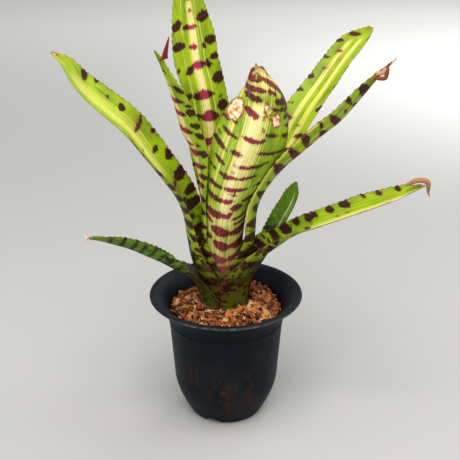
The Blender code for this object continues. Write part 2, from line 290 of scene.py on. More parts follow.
@dataclass(frozen=True)
class LeafFinish:
    """Satin leaf tissue with pale stripes, dark bands and dry patches.

    Attributes:
        name: The material's name.
        green: The usual green.
        deep: The green of its darker patches.
        pale: The colour of its stripes.
        cream: The colour of its palest stripes.
        band: The colour of a band over green.
        band_over_pale: The colour of a band over a stripe.
        base: The colour that it turns to near the sheath's foot, darker than its blade.
        red: The colour of its reddened patches.
        scale: The colour of its bloom and scale.
        scorched: The colour round its dried patches.
        straw: The darker colour of its dried patches.
        straw_pale: The lighter colour of its dried patches.
        mottle: How strong the dark mottling near its sheath is, from 0 to 1.
        bloom: How much grey bloom and scale lies on it, from 0 to 1.
        roughness: The shader's mean roughness.
    """

    name: str
    green: Colour
    deep: Colour
    pale: Colour
    cream: Colour = (0.80, 0.72, 0.36)
    band: Colour = (0.027, 0.0010, 0.0035)
    band_over_pale: Colour = (0.32, 0.008, 0.055)
    base: Colour = (0.052, 0.046, 0.006)
    red: Colour = (0.17, 0.010, 0.016)
    scale: Colour = (0.42, 0.48, 0.36)
    scorched: Colour = (0.22, 0.05, 0.012)
    straw: Colour = (0.50, 0.20, 0.055)
    straw_pale: Colour = (0.86, 0.66, 0.42)
    mottle: float = 0.9
    bloom: float = 0.0
    roughness: float = 0.42

    def build(self) -> bpy.types.Material:
        """Makes the material. It reads the numbers that every leaf's mesh carries.

        Returns:
            The material.
        """
        g = Graph(self.name)
        across = g.attribute("across_mm")
        along = g.attribute("along_mm")
        place = g.node("ShaderNodeCombineXYZ", X=across, Y=along, Z=g.attribute("leaf_seed")).outputs[0]
        veins = g.noise(g.scaled(place, (1.0, 0.012, 1.0)), 0.85, 3.0)
        fibres = g.noise(g.scaled(place, (1.0, 0.03, 1.0)), 2.4, 2.0)
        patches = g.noise(g.scaled(place, (1.0, 0.5, 1.0)), 0.11, 2.0)
        grit = g.noise(place, 1.3, 3.0)

        green = g.mix(g.step(patches, 0.35, 0.7), self.green, self.deep)
        green = g.mix(g.times(g.step(fibres, 0.5, 0.72), 0.35), green, self.pale)
        green = g.mix(g.times(g.step(fibres, 0.48, 0.34), 0.4), green, self.deep)
        stripes = g.add(g.attribute("pale"), g.swing(veins, 1.5))
        lines = g.noise(g.scaled(place, (1.0, 0.006, 1.0)), 1.9, 2.0)
        stripes = g.add(stripes, g.swing(lines, 1.3))
        stripe = g.mix(g.step(stripes, 0.62, 1.15), self.pale, self.cream)
        tissue = g.mix(g.step(stripes, 0.22, 0.70), green, stripe)

        wander = g.swing(g.noise(g.scaled(place, (1.0, 0.6, 1.0)), 0.5, 2.0), 3.2)
        depth = g.add(g.attribute("band"), g.add(wander, g.swing(fibres, 3.0)))
        halo = g.times(g.step(depth, -1.5, 0.2), 0.30)
        band_colour = g.mix(g.step(stripes, 0.25, 0.9), self.band, self.band_over_pale)
        tissue = g.mix(halo, tissue, band_colour)
        tissue = g.mix(g.times(g.step(depth, -0.25, 0.45), 0.96), tissue, band_colour)

        tissue = g.mix(g.times(g.step(grit, 0.45, 0.75), self.bloom), tissue, self.scale)
        # darker towards the sheath's foot
        low = g.math("SUBTRACT", 1.0, g.step(along, 24.0, 54.0))
        mottled = g.math("SUBTRACT", 1.0, g.step(along, 52.0, 84.0))
        tissue = g.mix(g.times(low, 0.88), tissue, self.base)
        blotches = g.step(g.noise(g.scaled(place, (0.6, 1.0, 1.0)), 0.30, 2.0), 0.50, 0.57)
        tissue = g.mix(g.times(g.times(blotches, mottled), self.mottle), tissue, self.band)
        tissue = g.mix(g.attribute("blush"), tissue, self.red)

        torn = g.swing(g.noise(place, 0.36, 3.0), 2.4)
        dryness = g.add(g.attribute("dry"), g.swing(grit, 0.3))
        dryness = g.add(dryness, g.times(torn, g.math("MINIMUM", g.attribute("dry"), 0.7)))
        straw = g.mix(g.step(g.noise(place, 0.3, 3.0), 0.36, 0.54), self.straw, self.straw_pale)
        scorched = g.mix(g.step(dryness, 0.26, 0.46), tissue, self.scorched)
        tissue = g.mix(g.step(dryness, 0.44, 0.62), scorched, straw)

        height = g.add(g.times(veins, 0.7), g.times(grit, 0.25))
        rough = g.add(g.spread(grit, self.roughness - 0.08, self.roughness + 0.08),
                      g.times(g.step(dryness, 0.3, 0.6), 0.3))
        return g.finish(Base_Color=tissue, Roughness=rough, Normal=g.bump(height, 0.35, 0.6 * MM),
                        Specular_IOR_Level=0.15, Subsurface_Weight=0.06, Subsurface_Scale=1.0 * MM)


@dataclass(frozen=True)
class PlasticFinish:
    """Moulded plastic with a fine grain, dust, splashes of dried mud and a painted highlight along the rim's
    lip.

    Attributes:
        name: The material's name.
        colour: The plastic's colour.
        dust_and_highlight: The colour of the dust, which is also painted along the rim's lip as a highlight.
        mud: The colour of the splashes.
    """

    name: str
    colour: Colour = (0.0050, 0.0074, 0.0115)
    dust_and_highlight: Colour = (0.20, 0.21, 0.22)
    mud: Colour = (0.046, 0.017, 0.009)

    def build(self) -> bpy.types.Material:
        """Makes the material.

        Returns:
            The material.
        """
        g = Graph(self.name)
        place = g.position()
        grain = g.noise(place, 2600.0, 2.0)
        cloud = g.noise(place, 38.0, 4.0)
        runs = g.noise(g.scaled(place, (1.0, 1.0, 0.55)), 260.0, 4.0)
        patchy = g.add(g.times(runs, 0.6), g.times(cloud, 0.4))
        muddy = g.times(g.attribute("mud"), g.step(patchy, 0.46, 0.60))
        # painted highlight: the number stored along the rim's lip lightens it towards the dust colour,
        # strongest at the front; the cloud term is real dust.
        dust_and_highlight_share = g.add(g.times(g.step(cloud, 0.45, 0.8), 0.04),
                      g.times(g.attribute("lip_highlight"), g.spread(g.step(runs, 0.42, 0.58), 0.25, 0.8)))
        colour = g.mix(dust_and_highlight_share, self.colour, self.dust_and_highlight)
        colour = g.mix(muddy, colour, self.mud)
        rough = g.add(g.spread(cloud, 0.40, 0.56), g.times(muddy, 0.3))
        height = g.add(g.times(grain, 0.5), g.times(cloud, 0.5))
        return g.finish(Base_Color=colour, Roughness=rough, Normal=g.bump(height, 0.12, 0.25 * MM),
                        Specular_IOR_Level=0.07)


@dataclass(frozen=True)
class HuskFinish:
    """Dry coconut husk, from dark gaps through orange brown to pale fibres; on the bed the tone also carries
    painted shade.

    Attributes:
        name: The material's name.
        dark: The colour in its gaps, which on the bed is also painted shade in its hollows.
        middle: Its usual colour.
        light: Its palest colour.
    """

    name: str
    dark: Colour
    middle: Colour
    light: Colour

    def build(self) -> bpy.types.Material:
        """Makes the material. Each piece of husk carries its own shade: a tone of their own on the loose
        pieces, and on the bed painted shade, darker in its hollows and lighter on its bumps.

        Returns:
            The material.
        """
        g = Graph(self.name)
        place = g.position()
        speckle = g.noise(place, 900.0, 4.0)
        clump = g.noise(place, 160.0, 3.0)
        tone = g.add(g.attribute("shade"), g.swing(speckle, 0.55))
        tone = g.add(tone, g.swing(clump, 0.5))
        colour = g.mix(g.step(tone, 0.0, 0.5), self.dark, self.middle)
        colour = g.mix(g.step(tone, 0.5, 1.0), colour, self.light)
        return g.finish(Base_Color=colour, Roughness=0.85, Normal=g.bump(speckle, 0.6, 0.5 * MM),
                        Specular_IOR_Level=0.2)


@dataclass(frozen=True)
class FloorFinish:
    """A plain pale sweep with painted light: it is painted lighter farther off, and lighter still in a
    painted pool of light to one side.

    Attributes:
        name: The material's name.
        near: Its colour by the object, the dark end of the painted light.
        far: Its colour farther off, the light end of the painted light.
        painted_light_pool: The colour of its painted pool of light, its lightest part.
        place: The middle of its painted pool of light, in metres.
    """

    name: str
    near: Colour
    far: Colour
    painted_light_pool: Colour
    place: tuple[float, float, float] = (0.75, 1.3, 0.0)

    def build(self) -> bpy.types.Material:
        """Makes the material.

        Returns:
            The material.
        """
        g = Graph(self.name)
        split = g.node("ShaderNodeSeparateXYZ", Vector=g.position())
        # painted light: lighter farther off along Y
        colour = g.mix(g.step(split.outputs["Y"], 0.3, 2.4), self.near, self.far)
        away = g.node("ShaderNodeVectorMath", {"operation": "DISTANCE"})
        g.set(away.inputs[0], g.position())
        away.inputs[1].default_value = self.place
        # painted pool of light around place
        colour = g.mix(g.step(away.outputs["Value"], 1.1, 0.1), colour, self.painted_light_pool)
        return g.finish(Base_Color=colour, Roughness=0.75, Specular_IOR_Level=0.15)


# ---------------------------------------------------------------- mesh helpers


def new_piece(name: str, bm: bmesh.types.BMesh, materials: Iterable[bpy.types.Material],
              replaces: Sequence[str] = (), smooth: bool = True) -> bpy.types.Object:
    """Turns a finished mesh into a piece of the object.

    Args:
        name: The piece's name.
        bm: Its mesh, which is freed.
        materials: Its materials, in the order of its faces' indices.
        replaces: The CAD nodes that it is shown instead of.
        smooth: Whether its faces shade smoothly.

    Returns:
        The piece.
    """
    for face in bm.faces:
        face.smooth = smooth
    mesh = bpy.data.meshes.new(name)
    bm.to_mesh(mesh)
    bm.free()
    for material in materials:
        mesh.materials.append(material)
    piece = bpy.data.objects.new(name, mesh)
    bpy.context.scene.collection.objects.link(piece)
    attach(piece, BODY)
    if replaces:
        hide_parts(*replaces)
    return piece


def store(mesh: bpy.types.Mesh, values: dict[str, np.ndarray | float]) -> None:
    """Stores numbers on the vertices.

    Args:
        mesh: The mesh.
        values: For each attribute's name, one number for each vertex or one for them all.
    """
    for name, value in values.items():
        attribute = mesh.attributes.new(name, "FLOAT", "POINT")
        filled = np.full(len(mesh.vertices), value, dtype=np.float32)
        attribute.data.foreach_set("value", filled)


def smooth_step(value: np.ndarray | float) -> np.ndarray | float:
    """A smooth step from 0 at 0 to 1 at 1.

    Args:
        value: The numbers to read.

    Returns:
        The step at each.
    """
    value = np.clip(value, 0.0, 1.0)
    return value * value * (3 - 2 * value)


def ripple(places: np.ndarray, seed: float) -> np.ndarray:
    """Smooth one-way noise between -1 and 1.

    Args:
        places: Where to read it; one unit is one swell.
        seed: Picks one ripple from another.

    Returns:
        The noise at each place.
    """
    return np.array([noise.noise(Vector((float(p), seed, 0.5))) for p in places])


def spline(knots: Sequence, counts: Sequence[int]) -> list:
    """Points of a Catmull-Rom spline, from the first knot to the last.

    Args:
        knots: The knots, as vectors or arrays.
        counts: How many steps each span takes.

    Returns:
        The points, of the same kind as the knots.
    """
    ends = [2 * knots[0] - knots[1], *knots, 2 * knots[-1] - knots[-2]]
    made = []
    for count, before, start, end, after in zip(counts, ends, ends[1:], ends[2:], ends[3:]):
        for t in (i / count for i in range(count)):
            made.append(0.5 * (2 * start + t * (end - before)
                               + t ** 2 * (2 * before - 5 * start + 4 * end - after)
                               + t ** 3 * (3 * start - before - 3 * end + after)))
    return [*made, knots[-1]]


def lathe(outline: Sequence[tuple[float, float]], steps: int) -> bmesh.types.BMesh:
    """Spins an outline about Z into a closed mesh.

    Args:
        outline: Radius and height of each point, from the axis and back to it.
        steps: How many steps the turn takes.

    Returns:
        The mesh.
    """
    bm = bmesh.new()
    chain = [bm.verts.new((radius, 0.0, z)) for radius, z in outline]
    edges = [bm.edges.new(pair) for pair in zip(chain, chain[1:])]
    bmesh.ops.spin(bm, geom=chain + edges, cent=(0, 0, 0), axis=(0, 0, 1), angle=2 * math.pi,
                   steps=steps, use_merge=True)
    bmesh.ops.remove_doubles(bm, verts=bm.verts, dist=MERGE_DISTANCE)
    bmesh.ops.recalc_face_normals(bm, faces=bm.faces)
    return bm


def tube(bm: bmesh.types.BMesh, points: Sequence[Vector], radii: Sequence[float], sides: int) -> list:
    """Adds a closed tapered tube along points.

    Args:
        bm: The mesh to add to.
        points: The points that its middle passes.
        radii: Its radius at each point.
        sides: How many sides it has.

    Returns:
        The new vertices.
    """
    made = []
    ring = []
    for i, (point, radius) in enumerate(zip(points, radii)):
        ahead = points[min(i + 1, len(points) - 1)] - points[max(i - 1, 0)]
        place = Matrix.Translation(point) @ ahead.to_track_quat("Z", "Y").to_matrix().to_4x4()
        if not ring:
            ring = bmesh.ops.create_circle(bm, cap_ends=True, segments=sides, radius=1.0)["verts"]
            face = ring[0].link_faces[0]
            bmesh.ops.reverse_faces(bm, faces=[face])
            shape = [Vector(v.co) for v in ring]
            edges = list(face.edges)
        else:
            grown = bmesh.ops.extrude_edge_only(bm, edges=edges)["geom"]
            new = {g for g in grown if isinstance(g, bmesh.types.BMVert)}
            edges = [g for g in grown if isinstance(g, bmesh.types.BMEdge) and all(v in new for v in g.verts)]
            follow = {edge.other_vert(vert): vert for vert in new for edge in vert.link_edges}
            ring = [follow[v] for v in ring]
        for vert, unit in zip(ring, shape):
            vert.co = place @ (unit * radius)
        made += ring
    bmesh.ops.contextual_create(bm, geom=edges)
    return made


# ---------------------------------------------------------------- pot


@dataclass(frozen=True)
class PotSize:
    """Sizes of the pot, in metres.

    The splashes of mud are given by their angle in degrees, height, half width in degrees, half height
    and strength, with the heights in millimetres.
    """

    height: float = 96 * MM
    rim_radius: float = 55 * MM
    shoulder_radius: float = 41.8 * MM
    flare_height: float = 20 * MM
    hip_radius: float = 38.8 * MM
    hip_height: float = 34 * MM
    foot_radius: float = 27.5 * MM
    foot_ring: float = 4 * MM
    hub_radius: float = 7 * MM
    recess: float = 3.8 * MM
    wall: float = 1.4 * MM
    bead: float = 0.9 * MM
    notch_count: int = 4
    notch_width: float = 13.4 * MM
    notch_depth: float = 3.0 * MM
    first_notch: float = 249.0
    steps: int = 192
    side_spans: int = 40
    inner_spans: int = 24
    flare_spans: int = 18
    splashes: tuple[tuple[float, ...], ...] = (
        (-93, 27, 13, 17, 1.0), (-125, 46, 9, 11, 0.8), (-62, 33, 8, 20, 0.8), (-70, 14, 16, 9, 0.5),
        (110, 30, 20, 18, 0.8))


class Pot:
    """The flared nursery pot."""

    def __init__(self, size: PotSize = PotSize()) -> None:
        """Keeps the sizes.

        Args:
            size: The sizes to use.
        """
        self.size = size

    def side_radius(self, z: float) -> float:
        """Outer radius below the shoulder.

        Args:
            z: The height.

        Returns:
            The radius there.
        """
        s = self.size
        if z >= s.hip_height:
            share = (z - s.hip_height) / (s.height - s.flare_height - s.hip_height)
            return s.hip_radius + (s.shoulder_radius - s.hip_radius) * share
        return s.foot_radius + (s.hip_radius - s.foot_radius) * math.sin(math.pi / 2 * z / s.hip_height)

    def flare(self, inset: float, top: float) -> list[tuple[float, float]]:
        """One face of the flared rim, from its edge in to the shoulder.

        Args:
            inset: How far inside the outer face it lies.
            top: The height of its edge.

        Returns:
            Radius and height of each point.
        """
        s = self.size
        reach = s.rim_radius - s.shoulder_radius + inset
        drop = top - (s.height - s.flare_height)
        turns = [math.pi / 2 * i / s.flare_spans for i in range(s.flare_spans + 1)]
        return [(s.rim_radius - reach * math.sin(t), top - drop * (1 - math.cos(t))) for t in turns]

    def inner_radius(self, z: float) -> float:
        """Inner radius at a height.

        Args:
            z: The height.

        Returns:
            The radius there.
        """
        s = self.size
        shoulder = s.height - s.flare_height
        if z <= shoulder:
            return self.side_radius(z) - s.wall
        share = min((z - shoulder) / s.flare_height, 1.0)
        return s.rim_radius - (s.rim_radius - s.shoulder_radius + s.wall) * math.sqrt(1 - share ** 2)

    def profile(self) -> list[tuple[float, float]]:
        """The closed outline, from the inner floor over the rim to the underside.

        Returns:
            Radius and height of each point.
        """
        s = self.size
        floor = s.recess + s.wall
        shoulder = s.height - s.flare_height
        rise = [floor + (shoulder - floor) * (i / s.inner_spans) for i in range(s.inner_spans)]
        inside = [(0.0, floor), (8 * MM, floor)] + [(self.side_radius(z) - s.wall, z) for z in rise]
        top = self.flare(s.wall, s.height)[::-1]
        middle = (s.rim_radius - s.bead * 0.4, s.height - s.bead)
        bead = [(middle[0] + s.bead * math.sin(t), middle[1] + s.bead * math.cos(t))
                for t in (0.1, 0.55, 1.0, 1.5, 2.0, 2.5, 3.0)]
        under = self.flare(0.0, s.height - s.wall)[2:]
        fall = [shoulder * (1 - i / s.side_spans) for i in range(1, s.side_spans)]
        step = [(s.shoulder_radius + 0.35 * MM, shoulder - 0.6 * MM)]
        outside = [(self.side_radius(z), z) for z in fall if z > 0.6 * MM]
        ring = s.foot_radius - s.foot_ring
        foot = [(s.foot_radius + 0.2 * MM, 0.5 * MM), (s.foot_radius - 0.4 * MM, 0.0), (ring + 0.4 * MM, 0.0),
                (ring, 0.4 * MM), (ring - s.wall, s.recess), (s.hub_radius + s.wall, s.recess),
                (s.hub_radius, 0.3 * MM), (s.hub_radius - 0.3 * MM, 0.0), (0.0, 0.0)]
        return inside + top[:-1] + bead + under + step + outside + foot

    def notch_floor(self, angle: float) -> float:
        """How high the foot is lifted at an angle about the pot's axis.

        Args:
            angle: The angle, in radians.

        Returns:
            The lift.
        """
        s = self.size
        radius = (s.notch_width ** 2 / 4 + s.notch_depth ** 2) / (2 * s.notch_depth)
        pitch = 2 * math.pi / s.notch_count
        away = (angle - math.radians(s.first_notch) + pitch / 2) % pitch - pitch / 2
        chord = s.foot_radius * math.sin(away)
        return max(s.notch_depth - radius + math.sqrt(max(radius ** 2 - chord ** 2, 0.0)), 0.0)

    def build(self, finish: PlasticFinish) -> bpy.types.Object:
        """Makes the pot.

        Args:
            finish: Its finish.

        Returns:
            The pot.
        """
        s = self.size
        bm = lathe(self.profile(), s.steps)
        for vert in bm.verts:
            radius = math.hypot(vert.co.x, vert.co.y)
            if radius > s.foot_radius - s.foot_ring - 0.1 * MM and vert.co.z < s.notch_depth:
                vert.co.z = max(vert.co.z, self.notch_floor(math.atan2(vert.co.y, vert.co.x)))
        pot = new_piece("pot_shell", bm, [finish.build()], ["pot"])
        self.store_mud_and_highlight(pot.data)
        return pot

    def store_mud_and_highlight(self, mesh: bpy.types.Mesh) -> None:
        """Stores where mud lies and where the painted highlight lies along the rim's lip, strongest at the
        front.

        Args:
            mesh: The pot's mesh.
        """
        s = self.size
        places = np.array([v.co[:] for v in mesh.vertices])
        height = places[:, 2]
        radius = np.hypot(places[:, 0], places[:, 1])
        angle = np.degrees(np.arctan2(places[:, 1], places[:, 0]))
        # painted highlight along the outer lip of the rim, strongest at the front
        lip = np.exp(-((height - s.height + 1.6 * MM) / (1.0 * MM)) ** 2) * (radius > s.rim_radius - 1.2 * MM)
        front = np.exp(-((angle + 88) / 48) ** 2)
        side = np.array([self.side_radius(min(z, s.height - s.flare_height)) for z in height])
        mud = np.zeros(len(places))
        for centre, middle, wide, tall, strength in s.splashes:
            far = ((angle - centre) / wide) ** 2 + ((height / MM - middle) / tall) ** 2
            mud = np.maximum(mud, strength * np.exp(-far))
        store(mesh, {"lip_highlight": lip * (0.25 + 0.75 * front), "mud": mud * (radius > side - 0.7 * MM)})


# ---------------------------------------------------------------- leaves


@dataclass(frozen=True)
class Band:
    """A dark bar across a leaf, in millimetres, its ends as shares of the half width.

    Attributes:
        along: Distance of its middle from the sheath's foot.
        start: Where it starts across the leaf, from -1 to 1.
        end: Where it ends.
        thick: Its thickness.
        sweep: How much farther along its end lies than its start.
        sag: How far its middle lies below the line between its ends.
    """

    along: float
    start: float = -1.1
    end: float = 1.1
    thick: float = 3.0
    sweep: float = 0.0
    sag: float = 0.0


@dataclass(frozen=True)
class Patch:
    """A soft oval spot on a leaf: its middle, its reach along in millimetres and across as a share."""

    along: float
    across: float
    reach_along: float
    reach_across: float
    strength: float = 1.0


@dataclass(frozen=True)
class Stripe:
    """A pale stripe along a leaf: its middle and reach across, and where along it starts and stops."""

    across: float
    reach: float
    strength: float = 1.0
    start: float = -50.0
    stop: float = 500.0


@dataclass(frozen=True)
class Spur:
    """A dried point or curl at a leaf's tip.

    Attributes:
        points: The points along it, in millimetres from the end of the leaf.
        radii: Its radius at each point, in millimetres.
        dry: How dry it is, from 0 to 1.
        blush: How red it is, from 0 to 1.
    """

    points: tuple[tuple[float, float, float], ...]
    radii: tuple[float, ...]
    dry: float = 0.8
    blush: float = 0.0


@dataclass(frozen=True)
class LeafStyle:
    """How a leaf's margins and colours differ from the others'.

    Attributes:
        bands: Its bars.
        stripes: Its pale stripes.
        dry: Its dried patches.
        blush: Its reddened patches.
        spurs: The dried points and curls at its tip.
        tooth: Height of its marginal teeth in millimetres.
        tooth_pitch: Their spacing in millimetres.
        wave: How far its margins swing in and out of its surface, in millimetres.
    """

    bands: tuple[Band, ...] = ()
    stripes: tuple[Stripe, ...] = ()
    dry: tuple[Patch, ...] = ()
    blush: tuple[Patch, ...] = ()
    spurs: tuple[Spur, ...] = ()
    tooth: float = 0.7
    tooth_pitch: float = 4.6
    wave: float = 0.5


@dataclass(frozen=True)
class LeafPlan:
    """A leaf's place and its blade, as knots (out, side, up, wider, channel, roll).

    The first four are in millimetres: where the midrib lies, measured from the foot of the leaf's own
    sheath, and how much wider each half of the blade is than an arc of the same angle in that foot.
    The last two are half the angle that its channel turns through and its roll, in degrees.

    Attributes:
        name: The CAD node's name.
        azimuth: Degrees from +X.
        layer: Its sheath's place, counted from the stem.
        wrap: Half the angle that its sheath wraps through, in degrees.
        clasp: The height in millimetres to which it clasps the stem.
        slot: The record's material slot.
        knots: The knots of its blade.
        style: Its margins and colours.
    """

    name: str
    azimuth: float
    layer: int
    wrap: float
    clasp: float
    slot: str
    knots: tuple[tuple[float, ...], ...]
    style: LeafStyle = LeafStyle()


@dataclass(frozen=True)
class RosetteSize:
    """Sizes that the stem and all the leaves share, in metres.

    The stem is given by heights in millimetres from its foot and by shares of its radius at each.
    """

    foot: tuple[float, float, float] = (-1 * MM, 4 * MM, 88 * MM)
    stem_radius: float = 7.6 * MM
    thickness: float = 1.0 * MM
    gap: float = 0.35 * MM
    below: float = 5 * MM
    straight: float = 3 * MM
    growth: float = 11.2
    outer_layer: int = 7
    peel: float = 30 * MM
    row: float = 0.9 * MM
    columns: int = 34
    stem_heights: tuple[float, ...] = (-26, -15, -5, 0, 6, 10, 12.5, 13.7, 14)
    stem_shares: tuple[float, ...] = (0.55, 0.85, 0.98, 0.98, 0.9, 0.72, 0.5, 0.25, 0.02)

    def layer_radius(self, layer: int) -> float:
        """Radius of the middle of a sheath's wall at its foot.

        Args:
            layer: The sheath's place, counted from the stem.

        Returns:
            The radius.
        """
        return self.stem_radius + self.gap + self.thickness / 2 + layer * (self.thickness + self.gap)


class LeafFace(Enum):
    """The faces of a leaf, in the order of its materials."""

    OUTER = 0
    UPPER = 1
    MARGIN = 2


class Leaf:
    """One leaf, from its sheath to its tip."""

    def __init__(self, plan: LeafPlan, size: RosetteSize, seed: int) -> None:
        """Works out the leaf's rows.

        Args:
            plan: The leaf's place and shape.
            size: The sizes that all leaves share.
            seed: Picks its own ripples and grain.
        """
        self.plan = plan
        self.size = size
        self.seed = seed
        knots = self.knots()
        spans = [float(np.linalg.norm((end - start)[:3])) for start, end in zip(knots, knots[1:])]
        self.rows = spline(knots, [max(2, round(span / size.row)) for span in spans])
        azimuth = math.radians(plan.azimuth)
        self.outward = Vector((math.cos(azimuth), math.sin(azimuth), 0.0))
        self.sideways = Vector((-math.sin(azimuth), math.cos(azimuth), 0.0))
        foot = Vector(size.foot)
        self.middles = [foot + self.outward * out + self.sideways * side + Vector((0, 0, up))
                        for out, side, up, *_ in self.rows]
        steps = [(b - a).length for a, b in zip(self.middles, self.middles[1:])]
        self.along = np.concatenate([[0.0], np.cumsum(steps)]) / MM

    def knots(self) -> list[np.ndarray]:
        """The knots of the sheath and then the blade, in metres and radians.

        Returns:
            The knots.
        """
        size, plan = self.size, self.plan
        foot = size.layer_radius(plan.layer)
        growth = size.growth * plan.layer / size.outer_layer
        made = []
        for height in (-size.below, plan.clasp * MM / 3, plan.clasp * MM):
            radius = foot * (1 + growth * max(height - size.straight, 0.0))
            wrap = math.radians(plan.wrap)
            made.append(np.array([radius, 0.0, height, radius * wrap, wrap, 0.0]))
        for out, side, up, wider, channel, roll in plan.knots:
            angle = math.radians(channel)
            made.append(np.array([foot + out * MM, side * MM, up * MM, foot * angle + wider * MM, angle,
                                  math.radians(roll)]))
        return made

    def frames(self) -> list[tuple[Vector, Vector]]:
        """The side and inward directions of each row.

        Returns:
            The two directions for each row.
        """
        last = len(self.rows) - 1
        made = []
        for i, row in enumerate(self.rows):
            along = (self.middles[min(i + 1, last)] - self.middles[max(i - 1, 0)]).normalized()
            side = (self.sideways - along * self.sideways.dot(along)).normalized()
            square = along.cross(side)
            inward = square * math.cos(row[5]) + side * math.sin(row[5])
            side = side * math.cos(row[5]) - square * math.sin(row[5])
            peeled = float(smooth_step((row[2] - self.plan.clasp * MM) / self.size.peel))
            made.append((self.sideways.lerp(side, peeled).normalized(),
                         (-self.outward).lerp(inward, peeled).normalized()))
        return made

    def margin_reach(self, edge: int) -> np.ndarray:
        """How far a margin stands out beyond its plain outline at each row, in metres.

        Args:
            edge: -1 for the margin at -1, and 1 for the other.

        Returns:
            The reach at each row.
        """
        style = self.plan.style
        phase = (self.along / style.tooth_pitch + 0.6 * ripple(self.along / 9.0, self.seed + edge)) % 1.0
        teeth = np.where(phase < TOOTH_RISE, phase / TOOTH_RISE, (1 - phase) / (1 - TOOTH_RISE)) ** 2
        free = smooth_step((self.along - self.plan.clasp - 12) / 20)
        swing = ripple(self.along / 14.0, self.seed + 3.7 * edge)
        narrow = np.clip(np.array([r[3] for r in self.rows]) / (5 * MM), 0.15, 1.0)
        return (style.tooth * teeth + 0.5 * swing) * free * narrow * MM

    def surface(self, across: np.ndarray) -> np.ndarray:
        """Points of the leaf's middle surface.

        Args:
            across: The columns' places across the leaf, from -1 to 1.

        Returns:
            Rows by columns by three.
        """
        frames = self.frames()
        middle = np.array([m[:] for m in self.middles])[:, None, :]
        side = np.array([f[0][:] for f in frames])[:, None, :]
        inward = np.array([f[1][:] for f in frames])[:, None, :]
        half_width = np.array([r[3] for r in self.rows])[:, None]
        half_angle = np.array([r[4] for r in self.rows])[:, None]
        radius = half_width / half_angle
        across = across[None, :]
        reach = np.where(across < 0, self.margin_reach(-1)[:, None], self.margin_reach(1)[:, None])
        angle = half_angle * (across * (1 + reach / half_width * np.abs(across) ** 14))
        points = middle + side * (radius * np.sin(angle))[..., None]
        points = points + inward * (radius * (1 - np.cos(angle)))[..., None]
        normal = inward * np.cos(angle)[..., None] - side * np.sin(angle)[..., None]
        free = smooth_step((self.along - self.plan.clasp - 8) / 25)[:, None]
        left, right = (ripple(self.along / 17.0, self.seed + shift)[:, None] for shift in (8.1, 9.4))
        wave = np.clip(-across, 0, 1) ** 3 * left + np.clip(across, 0, 1) ** 3 * right
        keel = 0.25 * np.exp(-(across / 0.08) ** 2)
        offset = (self.plan.style.wave * wave - keel) * free * np.clip(half_width / (7 * MM), 0.1, 1)
        return points + normal * (offset * MM)[..., None]

    def paint(self, along: np.ndarray, across: np.ndarray) -> dict[str, np.ndarray | float]:
        """The numbers that the leaf's finish reads.

        Args:
            along: Each vertex's distance from the sheath's foot, in millimetres.
            across: Its place across the leaf, from -1 to 1.

        Returns:
            The numbers by attribute name.
        """
        style = self.plan.style
        half_width = np.interp(along, self.along, [r[3] / MM for r in self.rows])
        band = np.full(len(along), NO_BAND)
        for item in style.bands:
            middle, reach = (item.start + item.end) / 2, abs(item.end - item.start) / 2
            share = (across - middle) / reach
            line = item.along + item.sweep / 2 * share - item.sag * (1 - share ** 2)
            past = np.maximum(np.abs(across - middle) - reach, 0) * half_width
            half = item.thick / 2 * (1.4 - 0.95 * np.clip(np.abs(share), 0, 1.1) ** 2.5)
            band = np.maximum(band, half - np.hypot(along - line, past))
        pale = np.zeros(len(along))
        for stripe in style.stripes:
            fade = smooth_step((along - stripe.start) / 12) * smooth_step((stripe.stop - along) / 12)
            core = np.exp(-((across - stripe.across) / stripe.reach) ** 2)
            pale = np.maximum(pale, stripe.strength * fade * core)
        dry, blush = (self.patch_strength(patches, along, across) for patches in (style.dry, style.blush))
        blush = np.maximum(blush, 0.5 * smooth_step((np.abs(across) - 0.955) / 0.03))
        return {"across_mm": across * half_width, "along_mm": along, "band": band, "pale": pale,
                "leaf_seed": LEAF_SEED_STEP * self.seed, "dry": dry, "blush": blush}

    def patch_strength(self, patches: Sequence[Patch], along: np.ndarray, across: np.ndarray) -> np.ndarray:
        """How strongly patches show.

        Args:
            patches: The patches.
            along: Each vertex's distance from the sheath's foot, in millimetres.
            across: Its place across the leaf, from -1 to 1.

        Returns:
            The strength at each vertex.
        """
        value = np.zeros(len(along))
        for spot in patches:
            far = ((along - spot.along) / spot.reach_along) ** 2
            far = far + ((across - spot.across) / spot.reach_across) ** 2
            value = np.maximum(value, spot.strength * np.exp(-far))
        return value

    def build(self, materials: Sequence[bpy.types.Material]) -> bpy.types.Object:
        """Makes the leaf.

        Args:
            materials: Its materials, in the order of LeafFace.

        Returns:
            The leaf.
        """
        size = self.size
        last = len(self.rows) - 1
        across = np.linspace(-1, 1, size.columns + 1)
        points = self.surface(across)
        bm = bmesh.new()
        bmesh.ops.create_grid(bm, x_segments=size.columns, y_segments=last, size=1)
        columns, rows = [], []
        for vert in bm.verts:
            column = round((vert.co.x + 1) / 2 * size.columns)
            row = round((vert.co.y + 1) / 2 * last)
            columns.append(column)
            rows.append(row)
            vert.co = points[row, column]
        leaf = new_piece(self.plan.name + "_blade", bm, materials, [self.plan.name])
        store(leaf.data, self.paint(self.along[rows], across[columns]))
        self.thicken(leaf, across[columns])
        for number, spur in enumerate(self.plan.style.spurs, 1):
            self.build_spur(spur, number, materials[LeafFace.OUTER.value])
        return leaf

